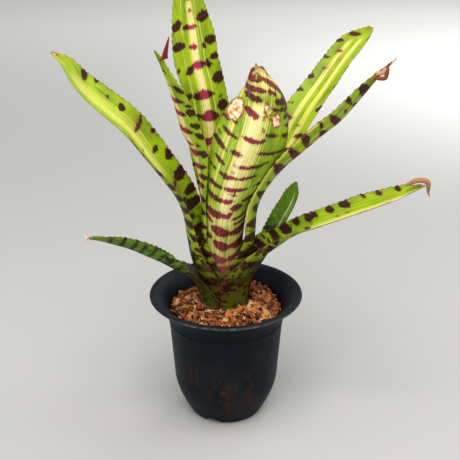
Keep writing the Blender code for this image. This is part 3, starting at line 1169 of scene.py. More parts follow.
    def build_spur(self, spur: Spur, number: int, material: bpy.types.Material) -> None:
        """Makes a dried point at the leaf's tip.

        Args:
            spur: Its shape.
            number: Tells it from the leaf's other points.
            material: Its material.
        """
        knots = [self.middles[-1] + Vector(p) * MM for p in spur.points]
        points = spline(knots, [SPUR_SPANS] * (len(knots) - 1))
        radii = np.interp(np.arange(len(points)) / SPUR_SPANS, range(len(knots)), spur.radii) * MM
        bm = bmesh.new()
        tube(bm, points, radii.tolist(), SPUR_SIDES)
        bmesh.ops.recalc_face_normals(bm, faces=bm.faces)
        for vert in bm.verts:
            vert.co.y += 0.35 * MM * noise.noise(vert.co * 700)
        piece = new_piece(f"{self.plan.name}_point_{number}", bm, [material])
        store(piece.data, {"across_mm": 0.0, "along_mm": self.along[-1], "band": NO_BAND, "pale": 0.5,
                           "leaf_seed": LEAF_SEED_STEP * self.seed, "dry": spur.dry, "blush": spur.blush})

    def thicken(self, leaf: bpy.types.Object, across: np.ndarray) -> None:
        """Gives the leaf its thickness, which thins towards the margins.

        Args:
            leaf: The leaf.
            across: Each vertex's place across it.
        """
        group = leaf.vertex_groups.new(name="thickness")
        for level in range(THICKNESS_LEVELS + 1):
            full = 1 - 0.75 * (level / THICKNESS_LEVELS) ** 3
            chosen = np.nonzero(np.round(np.abs(across) * THICKNESS_LEVELS) == level)[0]
            group.add([int(i) for i in chosen], full, "REPLACE")
        solid = leaf.modifiers.new("Thickness", "SOLIDIFY")
        solid.thickness = self.size.thickness * 0.92
        solid.offset = 0
        solid.vertex_group = group.name
        solid.material_offset = LeafFace.UPPER.value
        solid.material_offset_rim = LeafFace.MARGIN.value


# ---------------------------------------------------------------- the nine leaves


def streaks(*marks: tuple[float, ...]) -> tuple[Band, ...]:
    """Bars given by their ends.

    Args:
        *marks: For each bar the place along and across the leaf where it starts, the two where it ends, its
            thickness, and how far its middle sags if it does.

    Returns:
        The bars.
    """
    made = []
    for first, start, last, end, thick, *sag in marks:
        made.append(Band((first + last) / 2, start, end, thick, last - first, sag[0] if sag else 0.0))
    return tuple(made)


def bars(start: float, stop: float, step: float, thick: float, seed: int) -> tuple[Band, ...]:
    """Uneven bars all the way along a stretch of leaf.

    Args:
        start: Where the first lies, in millimetres.
        stop: Where the last may lie.
        step: Their mean spacing.
        thick: Their mean thickness.
        seed: Picks one run of bars from another.

    Returns:
        The bars.
    """
    rng = random.Random(seed)
    made = []
    place = start
    while place < stop:
        middle = rng.uniform(-0.25, 0.25)
        made.append(Band(place, max(-1.1, middle - 1.2), min(1.1, middle + 1.2),
                         thick * rng.uniform(0.7, 1.3), rng.uniform(-2, 2), rng.uniform(-1, 1)))
        place += step * rng.uniform(0.8, 1.2)
    return tuple(made)


def style_of_left_low() -> LeafStyle:
    """The low left leaf: dark green with faint bars and two short points.

    Returns:
        Its style.
    """
    return LeafStyle(
        bands=bars(20, 100, 8, 2.0, 1),
        stripes=(Stripe(0.35, 0.15, 0.3, 40),),
        dry=(Patch(112, 0, 5, 1.5, 0.9),),
        blush=(Patch(106, 0, 8, 1.5, 0.35),),
        spurs=(Spur(((1, 0, -0.5), (-0.6, 0, 1), (-1.2, 0, 3.4)), (0.7, 0.5, 0.1), 0.8),
               Spur(((0.6, 0, 0.5), (-0.4, 0, -1), (0.2, 0, -3)), (0.7, 0.4, 0.1), 0.8)),
        tooth=1.0, tooth_pitch=4.0)


def style_of_back_small() -> LeafStyle:
    """The small leaf behind: plain dark green with a pale line.

    Returns:
        Its style.
    """
    return LeafStyle(
        bands=streaks((62, -0.9, 60, 0.9, 3), (52, -0.9, 50, 0.9, 3), (40, -1, 40, 1, 3), (30, -1, 30, 1, 3)),
        stripes=(Stripe(-0.25, 0.13, 0.75, 55, 98), Stripe(-0.62, 0.1, 0.4, 60, 95),
                 Stripe(0.3, 0.1, 0.25, 50, 90)),
        tooth=0.8, tooth_pitch=4.0)


def style_of_right_low() -> LeafStyle:
    """The low right leaf: a yellow half, dark blotches on the upper margin and a dried tip that curls down.

    Returns:
        Its style.
    """
    return LeafStyle(
        bands=streaks(
            (150, 1.05, 148.5, 0.4, 3), (137, 1.05, 135, 0.55, 3), (126, 1.05, 124.5, 0.7, 1.8),
            (113, 1.05, 111, 0.42, 5.2, 1), (112, 0.05, 111, -0.1, 1.6), (105, 0.02, 104, -0.15, 1.8),
            (101.5, 1.05, 99.5, 0.42, 4), (90, 1.05, 88, 0.55, 3.4), (85, 1.05, 84, 0.35, 4),
            (83, 0.05, 81, -0.4, 3.2), (76, 1.05, 75, 0.5, 3.6), (69, 1.05, 66, 0.2, 5.5, 1),
            (73, -0.25, 71, -0.8, 3.6), (59, 1.05, 57, 0.15, 4.2, 1), (55, -0.3, 52, -0.95, 4),
            (47, 0.95, 44, -0.1, 4), (40, -1.1, 38, 1.1, 5), (28, -1.1, 28, 1.1, 5),
            (62, -0.75, 60, -1.05, 3), (92, -0.85, 91, -1.05, 2)),
        stripes=(Stripe(-0.45, 0.36, 0.75, 72, 172), Stripe(0.12, 0.1, 0.45, 80, 160),
                 Stripe(0.45, 0.08, 0.25, 90, 150)),
        dry=(Patch(150, -0.72, 17, 0.30, 0.80), Patch(124, -0.75, 9, 0.2, 0.62), Patch(172, 0, 8, 1.6, 1.1),
             Patch(160, 1.0, 8, 0.3, 0.6)),
        blush=(Patch(137, 0.9, 7, 0.3, 0.35), Patch(122, 0.8, 6, 0.3, 0.2)),
        spurs=(Spur(((-13, 0, 0.5), (-8, -0.5, 3.2), (-3, -1, 4.4), (1.2, -1.2, 2.8), (2.1, -1, -1.6),
                     (2.3, -1, -4.5), (3.6, -1, -7.6)), (0.9, 1.7, 2.0, 1.9, 1.3, 0.9, 0.15), 0.64),),
        tooth=0.9)


def style_of_left_long() -> LeafStyle:
    """The long left leaf: a pale yellow middle and dark blotches along the far margin.

    Returns:
        Its style.
    """
    return LeafStyle(
        bands=streaks(
            (195, -1.05, 190, -0.45, 4.6), (184, -1.1, 182.5, -0.82, 3), (158, -0.8, 156.5, -0.45, 4.4),
            (145, -0.95, 140, -0.15, 2.6, 1), (133.5, -1.1, 132, -0.8, 2.2),
            (122, -0.65, 120.5, -0.3, 3.6), (170, -0.7, 169, -0.5, 1.6), (128, 0.1, 127, 0.3, 1.2),
            (113.5, -1.1, 111, -0.65, 5.4), (99.5, -1.1, 96, -0.4, 6, 1), (95, -0.4, 92, -0.05, 2.6),
            (87, -1.1, 84, -0.45, 4.6, 1), (81, -0.4, 79, 0.1, 3), (77, -1.1, 75, 0.3, 6, 1),
            (67, -0.6, 64, 0.3, 4), (57, -1.1, 54, 0.6, 6, 1), (47, -1.1, 45, 0.8, 6, 1),
            (38, -1.1, 36, 1.1, 5), (28, -1.1, 28, 1.1, 5), (137, 0.55, 133, 1.1, 3.6),
            (128, 0.75, 126, 1.1, 2), (112, 0.5, 108, 1.1, 4.6), (99, 0.45, 95, 1.1, 4.4),
            (90, 0.2, 86, 1.1, 4.6), (80, 0.45, 77, 1.1, 4), (70, 0.4, 67, 1.1, 4.4),
            (60, 0.7, 57, 1.1, 3.6)),
        stripes=(Stripe(0.1, 0.36, 0.62, 96, 205), Stripe(-0.35, 0.08, 0.3, 110, 195),
                 Stripe(-0.75, 0.06, 0.2, 100, 190)),
        dry=(Patch(216, 0, 5, 1.5, 0.6), Patch(196, 0.15, 8, 0.25, 0.24)),
        blush=(Patch(145, -0.5, 7, 0.4, 0.30), Patch(196, 0.1, 12, 0.25, 0.18), Patch(92, -0.2, 8, 0.3, 0.3),
               Patch(212, -0.2, 7, 0.8, 0.35)),
        tooth=0.9)


def style_of_right_mid() -> LeafStyle:
    """The middle right leaf, seen from outside: strong maroon bars, a dried tip and painted light that
    lightens the whole blade.

    Returns:
        Its style.
    """
    return LeafStyle(
        bands=streaks(
            (191, -1.1, 188.5, 0.8, 5.6), (180, -1.1, 178, -0.45, 2.6), (179, -0.25, 177, 0.8, 4.2),
            (173, -0.6, 171, -0.2, 1.2), (163.5, -0.9, 161, 0.2, 4.6, -1), (163, 0.4, 162, 0.85, 3.4),
            (155, -1.0, 153.5, -0.6, 1.8), (151, -0.5, 147.5, 0.6, 4.2, -1),
            (141.5, -1.1, 137, -0.25, 4.6, -1), (137.5, -0.3, 139, 0.3, 3.4), (129, -1.0, 127, 0.85, 5, 1),
            (114, -0.95, 113, 0.75, 6.5, 1), (101, -0.6, 99, 0.9, 3), (92, -0.8, 88, 0.8, 5),
            (81, -0.6, 78, 0.9, 6), (70, -0.9, 67, 0.9, 6), (60, -1.1, 57, 1.1, 6), (48, -1.1, 46, 1.1, 6),
            (38, -1.1, 36, 1.1, 5), (26, -1.1, 26, 1.1, 5)),
        # painted light: the stripe across the whole blade (at 0.1, reach 1.0) lightens this shaded underside
        # and adds fine pale lines
        stripes=(Stripe(-0.95, 0.14, 0.7, 60, 165), Stripe(0.1, 1.0, 0.42, 95, 198),
                 Stripe(0.1, 0.12, 0.3, 100, 180), Stripe(0.85, 0.1, 0.35, 120, 180)),
        dry=(Patch(206, 0, 9, 1.6, 0.8), Patch(216, 0, 9, 1.6, 0.8)),
        blush=(Patch(203, 0.2, 8, 1.6, 0.7), Patch(216, 0, 9, 1.6, 0.7)),
        spurs=(Spur(((-14, -0.4, -11.5), (-10.5, -0.4, -12.6), (-6.2, -0.6, -12.2), (-5.2, -0.5, -8),
                     (-4.8, -0.3, -3.5)), (0.6, 1.2, 1.5, 1.3, 0.5), 0.45, 0.6),
               Spur(((-12.5, 0.2, -9.5), (-8.5, 0.2, -9), (-6.2, 0, -6)), (1.2, 2.0, 1.3), 0.55, 0.15)),
        tooth=0.8)


def style_of_left_inner() -> LeafStyle:
    """The inner left leaf: cream and magenta on one half, green with dark blotches on the other.

    Returns:
        Its style.
    """
    return LeafStyle(
        bands=streaks(
            (186, -0.4, 178, 0.55, 1.3), (180, -1.1, 179, -0.4, 1.6), (173, -1.1, 170.5, 0.1, 2.2),
            (169, 0.4, 164, 1.05, 3.6), (163.5, -0.95, 158, 0.58, 3.2), (155, 0.6, 153.5, 1.0, 1.6),
            (154, -0.95, 149, 0.38, 3.2), (150, 0.45, 148.5, 1.05, 3.8), (141, 0.48, 139, 0.98, 3.6),
            (141, -0.8, 136, 0.46, 3.6), (134, 0.5, 133, 0.8, 1.8), (130.5, -1.0, 127, 0.1, 2.8),
            (131, 0.62, 130, 1.05, 3), (126, 0.3, 125, 0.6, 1.8), (122.5, -0.8, 120, 0.4, 4),
            (120.5, 0.35, 118.5, 1.0, 3.6), (112, -0.8, 110, 0.9, 3), (104, -0.2, 103, 1.0, 3),
            (98, -0.9, 96, 0.7, 3.4), (88, -0.9, 86, 1.0, 3.6), (78, -1.1, 76, 1.1, 4),
            (68, -1.1, 66, 1.1, 4), (58, -1.1, 56, 1.1, 5), (47, -1.1, 46, 1.1, 5), (36, -1.1, 36, 1.1, 5),
            (26, -1.1, 26, 1.1, 5)),
        stripes=(Stripe(-0.55, 0.45, 1.0, 80, 176), Stripe(-0.05, 0.3, 1.0, 80, 182)),
        dry=(Patch(196, 0, 6, 1.2, 0.32),),
        blush=(Patch(158, -1.0, 30, 0.16, 0.55), Patch(176, -0.8, 8, 0.3, 0.2)),
        spurs=(Spur(((6.4, 0, -4.6), (6.7, 0, -2.2), (7.6, 0, 1.6), (8.7, 0, 5.6), (9.4, 0, 8.8)),
                    (2.1, 1.7, 1.2, 0.7, 0.12), 0.0, 1.0),
               Spur(((3, 0, -6), (5, 0, -4.6), (7.4, 0, -3.4)), (0.8, 1.4, 1.2), 0.42, 0.3)),
        tooth=0.7)


def style_of_front_cup() -> LeafStyle:
    """The front leaf, rolled to a cup: many fine bars, magenta where they cross its cream middle.

    Returns:
        Its style.
    """
    return LeafStyle(
        bands=streaks(
            (184, -0.95, 181.5, -0.2, 3.6), (182.5, 0.3, 182, 0.9, 3.2), (182, -0.7, 174, 0.05, 3.2, 1),
            (178, -0.2, 172, 0.45, 2.8), (175.5, -0.62, 167, 0.15, 3.2, 1.5),
            (169, -0.5, 161, 0.05, 3.8, 1.6), (173, 0.15, 163, 0.95, 3.6, -0.6),
            (178.5, 0.4, 170, 0.98, 2.8), (167.5, 0.12, 165, 0.45, 2.2), (161, 0.4, 161.5, 1.0, 3.2),
            (157, 0.3, 159.5, 1.0, 2.2, 1), (153, 0.7, 155, 1.0, 2), (155.3, -0.36, 151, 0.02, 3.8, 0.8),
            (145.5, -0.6, 143, -0.42, 2.4), (146.5, -1.0, 144, -0.7, 2), (137.5, -0.8, 133, -0.3, 2.3, 1),
            (135.5, -0.22, 137, 0.3, 2.6, 1.6), (128, -1.0, 122, -0.45, 3, -0.4),
            (133, -0.9, 131, -0.75, 1.2), (115.5, -0.75, 113, -0.42, 2.3), (123, -0.35, 123.5, -0.07, 2.8),
            (140.5, 0.28, 141.5, 0.6, 2), (142, 0.7, 142.5, 1.05, 2.2), (148, 0.8, 149, 1.05, 1.8),
            (128, 0.2, 133.5, 0.95, 1.8, 0.8), (115, -0.1, 123.5, 0.62, 2.1, 1.6),
            (115.5, -0.2, 115, -0.12, 1.1), (110.3, -0.2, 110, -0.12, 1), (104, -0.3, 103.7, -0.2, 0.9),
            (107, -0.56, 107, 0.02, 2.4, 1.2), (107, 0, 112.5, 0.46, 2.1, 1),
            (108.5, -1.0, 107, -0.62, 1.5), (98.3, -0.95, 97, -0.3, 2.3, 0.6),
            (97, -0.3, 101, 0.36, 2.3, 0.8), (103, 0.5, 107, 0.9, 1.8), (90.5, -0.95, 88, -0.15, 2.8, 0.8),
            (88, -0.2, 90, 0.12, 2.8, 0.3), (91, 0.38, 94, 0.75, 3.4), (84, 0.08, 86.5, 0.46, 4),
            (94.3, -0.1, 94.6, 0.15, 0.9), (79.5, -0.95, 77.5, 0.02, 4.2, 1), (77.5, 0, 79.5, 0.16, 4),
            (75, 0.2, 82, 0.95, 1.9, 1), (73.5, -0.9, 71, -0.48, 2.8), (66.5, -0.55, 64, 0.22, 5.2, 0.8),
            (64, 0.18, 69, 0.85, 4.6, 1), (60.5, -1.0, 58, -0.45, 3.8), (71, 0.3, 74, 0.9, 1.8),
            (56, -0.42, 53, 0.2, 5.2, 1.2), (53.5, 0.2, 59, 1.0, 5, 1), (47, -0.95, 42, 0.12, 5, 1),
            (43, 0.12, 49, 1.0, 4.4, 1), (36, -1.1, 36, 1.1, 5, 2), (26, -1.1, 26, 1.1, 5)),
        stripes=(Stripe(-0.05, 0.33, 0.95, 60, 166), Stripe(-0.55, 0.05, 0.5, 80, 168),
                 Stripe(0.42, 0.05, 0.35, 60, 150), Stripe(-0.66, 0.04, 0.3, 80, 150),
                 Stripe(-0.3, 1.2, 0.55, 0, 88), Stripe(0, 1.3, 0.62, 158, 230)),
        dry=(Patch(153, -0.66, 9, 0.25, 1.25), Patch(156.5, 0.16, 9, 0.085, 0.62),
             Patch(150.5, 0.50, 4.6, 0.13, 1.05), Patch(154, 0.33, 8, 0.05, 0.6),
             Patch(143, 0.2, 3.5, 0.06, 0.5)),
        blush=(Patch(186, 0, 6.5, 1.6, 0.95), Patch(176, -0.9, 10, 0.3, 0.6), Patch(172, 0.95, 9, 0.25, 0.5),
               Patch(55, 0.0, 22, 0.8, 0.22)),
        spurs=(Spur(((0, 1, -6), (-0.4, 2.4, -2), (-0.8, 3.3, 1.8)), (2.0, 1.5, 0.25), 0.0, 0.8),
               Spur(((0, -4, -7), (0, -6, -4.4), (-0.3, -7.6, -2.2)), (2.2, 1.7, 0.4), 0.0, 0.75),
               Spur(((0, -6, -4.4), (-0.5, -9, -3.6), (-1, -13, -4.8), (-1.4, -16.4, -5.4)),
                    (1.0, 0.7, 0.45, 0.12), 0.2, 0.6)),
        tooth=0.8, wave=0.3)


def style_of_right_upper() -> LeafStyle:
    """The upper right leaf: two pale stripes and blotches along its margins.

    Returns:
        Its style.
    """
    return LeafStyle(
        bands=streaks(
            (234, 1.05, 231, 0.15, 4, 0.5), (221.5, 1.05, 220, 0.72, 3.4), (213.5, 0.6, 212, 0.25, 1.6),
            (204.5, 1.05, 203, 0.7, 2), (196, 0.6, 195, 0.35, 1.4), (185.5, 1.05, 184, 0.74, 3.6),
            (172, 1.05, 171, 0.76, 2.6), (160, 0.95, 159, 0.75, 1.6), (150, 0.85, 148.5, 0.35, 2.2),
            (147, 0, 146, -0.3, 1.4), (234, -0.85, 229, -1.05, 3), (203, -0.92, 199, -1.1, 2.4),
            (184.5, -0.88, 183, -1.1, 2.6), (164, -0.7, 161.5, -1.1, 3.6), (140, -0.2, 138, -1.0, 3),
            (126, -1.05, 125, 0.9, 4), (113, -1.05, 112, 0.9, 4), (100, -1.05, 99, 1, 4),
            (87, -1.1, 86, 1.1, 4), (74, -1.1, 73, 1.1, 5), (60, -1.1, 60, 1.1, 5), (47, -1.1, 46, 1.1, 5),
            (36, -1.1, 36, 1.1, 5), (25, -1.1, 25, 1.1, 5)),
        stripes=(Stripe(0.3, 0.16, 0.8, 120, 232), Stripe(-0.28, 0.2, 0.85, 120, 238),
                 Stripe(0.02, 0.05, 0.3, 120, 230)),
        dry=(Patch(246, 0, 4, 1.4, 0.55), Patch(196, 0.45, 6, 0.16, 0.3), Patch(213, 0.45, 4, 0.2, 0.3)),
        blush=(Patch(213, 0.45, 6, 0.25, 0.4), Patch(197, 0.4, 8, 0.25, 0.3), Patch(149, 0.55, 7, 0.3, 0.35),
               Patch(243, 0, 4, 1.2, 0.45), Patch(204, 0.1, 5, 0.2, 0.2), Patch(147, -0.1, 6, 0.2, 0.22),
               Patch(202, -0.6, 6, 0.25, 0.18), Patch(232, 0.6, 6, 0.4, 0.3)),
        tooth=0.8)


def style_of_back_tall() -> LeafStyle:
    """The tallest leaf, behind: a cream middle that turns magenta where the bars cross it.

    Returns:
        Its style.
    """
    return LeafStyle(
        bands=streaks(
            (240, 1.05, 239, 0.5, 3), (240, -0.5, 239, -1.05, 3), (229, 0.95, 227, 0.4, 3),
            (227, -0.4, 228, -0.95, 3.4), (219, 0.3, 219, -0.3, 1.4), (207.5, -0.3, 205, -1.05, 5),
            (211, 0.1, 210.5, -0.1, 1.4), (203.5, 1.05, 200.5, 0.5, 4.6), (200.5, 0.5, 200, -0.2, 2.4),
            (187, -0.32, 187.5, -0.5, 3.6), (190.5, -0.45, 190, -1.05, 4.4), (188.5, 1.05, 187, 0.42, 4.2),
            (187, 0.25, 187, -0.08, 3), (179, -0.6, 178, -1.05, 4.2), (174.5, 0.26, 174.5, -0.32, 4),
            (173.5, -0.3, 174.5, -0.58, 4.4), (173, 0.62, 171, 0.18, 3.6), (174, 0.98, 173, 0.85, 2),
            (164, -0.48, 163, -1.05, 5.2), (155.5, 1.0, 153.5, 0.58, 3.2),
            (153.6, 0.55, 153.5, -0.38, 4.6, -0.5), (152, -0.62, 151, -0.75, 1.4),
            (146.5, -0.45, 145, -0.9, 5.2), (139.5, 0.98, 138.5, 0.32, 4.2),
            (138.8, 0.3, 138.5, -0.4, 5.6, -0.5), (128, 0.98, 126, 0.5, 3), (122, -1, 121, 0.9, 4),
            (108, -1, 108, 1, 4), (95, -1.05, 95, 1.05, 4), (82, -1.1, 82, 1.1, 5), (68, -1.1, 68, 1.1, 5),
            (54, -1.1, 54, 1.1, 5), (40, -1.1, 40, 1.1, 5), (27, -1.1, 27, 1.1, 5)),
        stripes=(Stripe(0.02, 0.22, 1.0, 90, 225), Stripe(0.52, 0.07, 0.4, 130, 230),
                 Stripe(-0.38, 0.06, 0.4, 130, 230), Stripe(0.8, 0.04, 0.25, 130, 215)),
        dry=(Patch(246, 0, 6, 1.2, 0.7),),
        blush=(Patch(127, -0.1, 8, 0.35, 0.12), Patch(236, 0.2, 9, 0.9, 0.22), Patch(210, 0, 5, 0.2, 0.22),
               Patch(238, -0.5, 8, 0.6, 0.3)),
        tooth=0.8)


def leaf_plans() -> list[LeafPlan]:
    """The nine leaves, from the lowest to the innermost.

    Returns:
        Their plans.
    """
    return [
        LeafPlan("leaf_left_low", 197, 7, 60, 8, "leaf_deep", (
            (7.1, -0.5, 21, 3, 40, 0), (18.1, -2, 28, -0.2, 44, -15), (28.1, -2.5, 35, -1.4, 46, -28),
            (39.1, -2.5, 42, -2.5, 48, -32), (49.1, -2, 48, -3.5, 48, -32), (62.1, -1, 54, -6, 48, -30),
            (71.1, 0, 58, -8.1, 45, -20), (79.1, 0, 60, -11.3, 40, -10)),
            style_of_left_low()),
        LeafPlan("leaf_back_small", 45, 7, 44, 6, "leaf_deep", (
            (1.6, 0, 10, -0.1, 42, 0), (5.1, 0, 15, -0.5, 40, 0), (15.1, 0, 21, -3.1, 42, 0),
            (27.1, 0, 29, -4.1, 42, 0), (35.1, 0, 38, -3.3, 40, 0), (43.1, 0, 47, -2.7, 38, 0),
            (51.1, 0, 55, -2.5, 36, 0), (57.1, 0, 64, -3.9, 34, 0), (60.1, 0, 72, -8.2, 30, 0)),
            style_of_back_small()),
        LeafPlan("leaf_right_low", 355, 6, 94, 18, "leaf_lime", (
            (5.9, 0, 28, 6.5, 78, 0), (12.4, 0, 37, 3.5, 64, 0), (23.4, 0, 46, -0.8, 58, 0),
            (33.5, 0, 54, -2.6, 54, -5), (47.5, 0, 61, -1.8, 46, -12), (67.5, 0, 70, -0.6, 40, -15),
            (87.5, 0, 78, -0.5, 38, -15), (104.5, 0, 85, -1.6, 35, -12), (113.5, 0, 89, -3.7, 32, -6),
            (120.5, 0, 92, -7.5, 30, 0)),
            style_of_right_low()),
        LeafPlan("leaf_left_long", 172, 5, 88, 16, "leaf_lime", (
            (5.8, 0, 26, 7.7, 82, 0), (9, -0.5, 36, 7.5, 68, 0), (11.3, -1.2, 49, 4.9, 60, 0),
            (13.8, -1.6, 66, 2.1, 60, 3), (18.8, -1.6, 79.5, 0.9, 62, 6), (28.6, -1, 94.5, 1.1, 60, 10),
            (38, 0.5, 108.5, 2.2, 54, 14), (50.6, 2.5, 127, 3, 47, 18), (66.3, 3.5, 141.5, 2.9, 42, 20),
            (81.8, 3, 155.5, 1.4, 38, 20), (92.2, 1.5, 169.5, -2, 34, 18), (101.8, 0, 177, -6.8, 30, 15)),
            style_of_left_long()),
        LeafPlan("leaf_right_mid", 350, 4, 80, 26, "leaf_lime", (
            (7.2, 0, 50, 4.8, 42, 0), (9.2, 0, 73, 4.3, 38, 4), (16.1, 0, 89, 0.8, 42, 10),
            (26.6, 0, 103, -0.6, 50, 14), (38.8, 0, 115, -1, 56, 18), (52.5, 0, 128, -0.5, 56, 20),
            (64, 0, 138.5, -1.5, 56, 20), (77.2, 0, 155.5, -4.5, 56, 18), (84.2, 0, 165, -8, 58, 14),
            (90.2, 0, 172, -10.5, 56, 10), (96.2, 0, 179, -8.5, 40, 10)),
            style_of_right_mid()),
        LeafPlan("leaf_left_inner", 206, 3, 70, 20, "leaf_lime", (
            (4.2, 0.3, 46, -1.3, 30, 0), (4.4, 0.3, 62, -1.5, 26, 0), (4.4, 0.3, 80, -1.9, 26, 0),
            (5.9, 1.2, 98, -2.1, 36, -10), (9.3, 0.8, 116, -1.3, 48, -18), (14.5, 0, 128, -0.1, 52, -22),
            (18.5, 0, 141, -1.7, 56, -20), (22.5, 0, 152, -4.1, 60, -14), (27, 0, 164, -7.9, 66, -6),
            (31.5, 0, 175, -11.3, 70, 0), (35.5, 0, 184, -9.7, 50, 0)),
            style_of_left_inner()),
        LeafPlan("leaf_front_cup", 270, 2, 98, 20, "leaf_cream", (
            (2.1, -1, 36, 2.8, 86, 0), (3.3, 0, 52, 3.4, 80, 0), (7.4, 2.5, 78, 5.4, 80, 0),
            (9.9, 8, 98, 11.5, 72, 0), (11.4, 15, 118, 16.9, 62, 0), (10.9, 20, 133, 16.3, 60, 0),
            (8.9, 23.5, 150, 10.2, 76, 0), (6.4, 23.5, 160, 2.6, 105, 0), (3.9, 22.5, 166.5, -7, 118, 0),
            (0.5, 21.5, 172.5, -12, 95, 0)),
            style_of_front_cup()),
        LeafPlan("leaf_right_upper", 38, 1, 90, 44, "leaf_lime", (
            (2.7, 0, 60, 2.4, 56, 0), (9.2, 0, 71, 0.3, 46, 0), (20.2, 0, 83, 1.5, 44, 0),
            (34.2, -0.6, 95, 5, 42, -4), (47.2, -0.6, 109, 7.4, 40, -8), (57.2, -0.6, 123, 8.4, 37, -12),
            (68.2, -0.6, 135, 8.4, 34, -12), (81.2, -0.6, 147, 7.7, 32, -12),
            (94.2, -0.6, 160, 7.1, 30, -12), (105.2, 0, 169, 7.2, 28, -12), (117.2, 0, 177, 5.1, 26, -10),
            (130.2, 0, 184, -1.6, 24, -8)),
            style_of_right_upper()),
        LeafPlan("leaf_back_tall", 90, 0, 95, 50, "leaf_lime", (
            (2.1, 2, 66, 3.6, 84, 0), (5.6, 5, 90, 8.1, 74, 0), (8.6, 8, 115, 10.9, 58, 0),
            (11.6, 11.6, 140, 9.7, 46, 0), (13.6, 14.6, 155, 9.8, 42, 0), (16.6, 18.6, 170, 10.4, 38, 0),
            (19.6, 20.6, 185, 10.3, 35, 0), (22.6, 23.1, 200, 7.6, 33, 0), (25.6, 24.5, 213, 4.1, 30, 0),
            (27.6, 25, 222, -2.1, 28, 0)),
            style_of_back_tall()),
    ]


# ---------------------------------------------------------------- husk


@dataclass(frozen=True)
class HuskSize:
    """Sizes of the husk in the pot, in metres. Each heap is given by its place, its spread and its height."""

    edge_z: float = 81 * MM
    mound_radius: float = 24 * MM
    mound_height: float = 7 * MM
    gap: float = 0.3 * MM
    floor_z: float = 5.5 * MM
    plant: tuple[float, float] = (-1 * MM, 4 * MM)
    clear_of_plant: float = 18.6 * MM
    heaps: tuple[tuple[float, float, float, float], ...] = (
        (-34 * MM, 8 * MM, 9 * MM, 6 * MM), (26 * MM, 24 * MM, 10 * MM, 6.5 * MM),
        (-24 * MM, -22 * MM, 9 * MM, 2.5 * MM), (8 * MM, -28 * MM, 8 * MM, 1.5 * MM))
    overhang: float = 1.2 * MM
    chunks: int = 1100
    fibres: int = 230
    steps: int = 150
    rings: int = 46


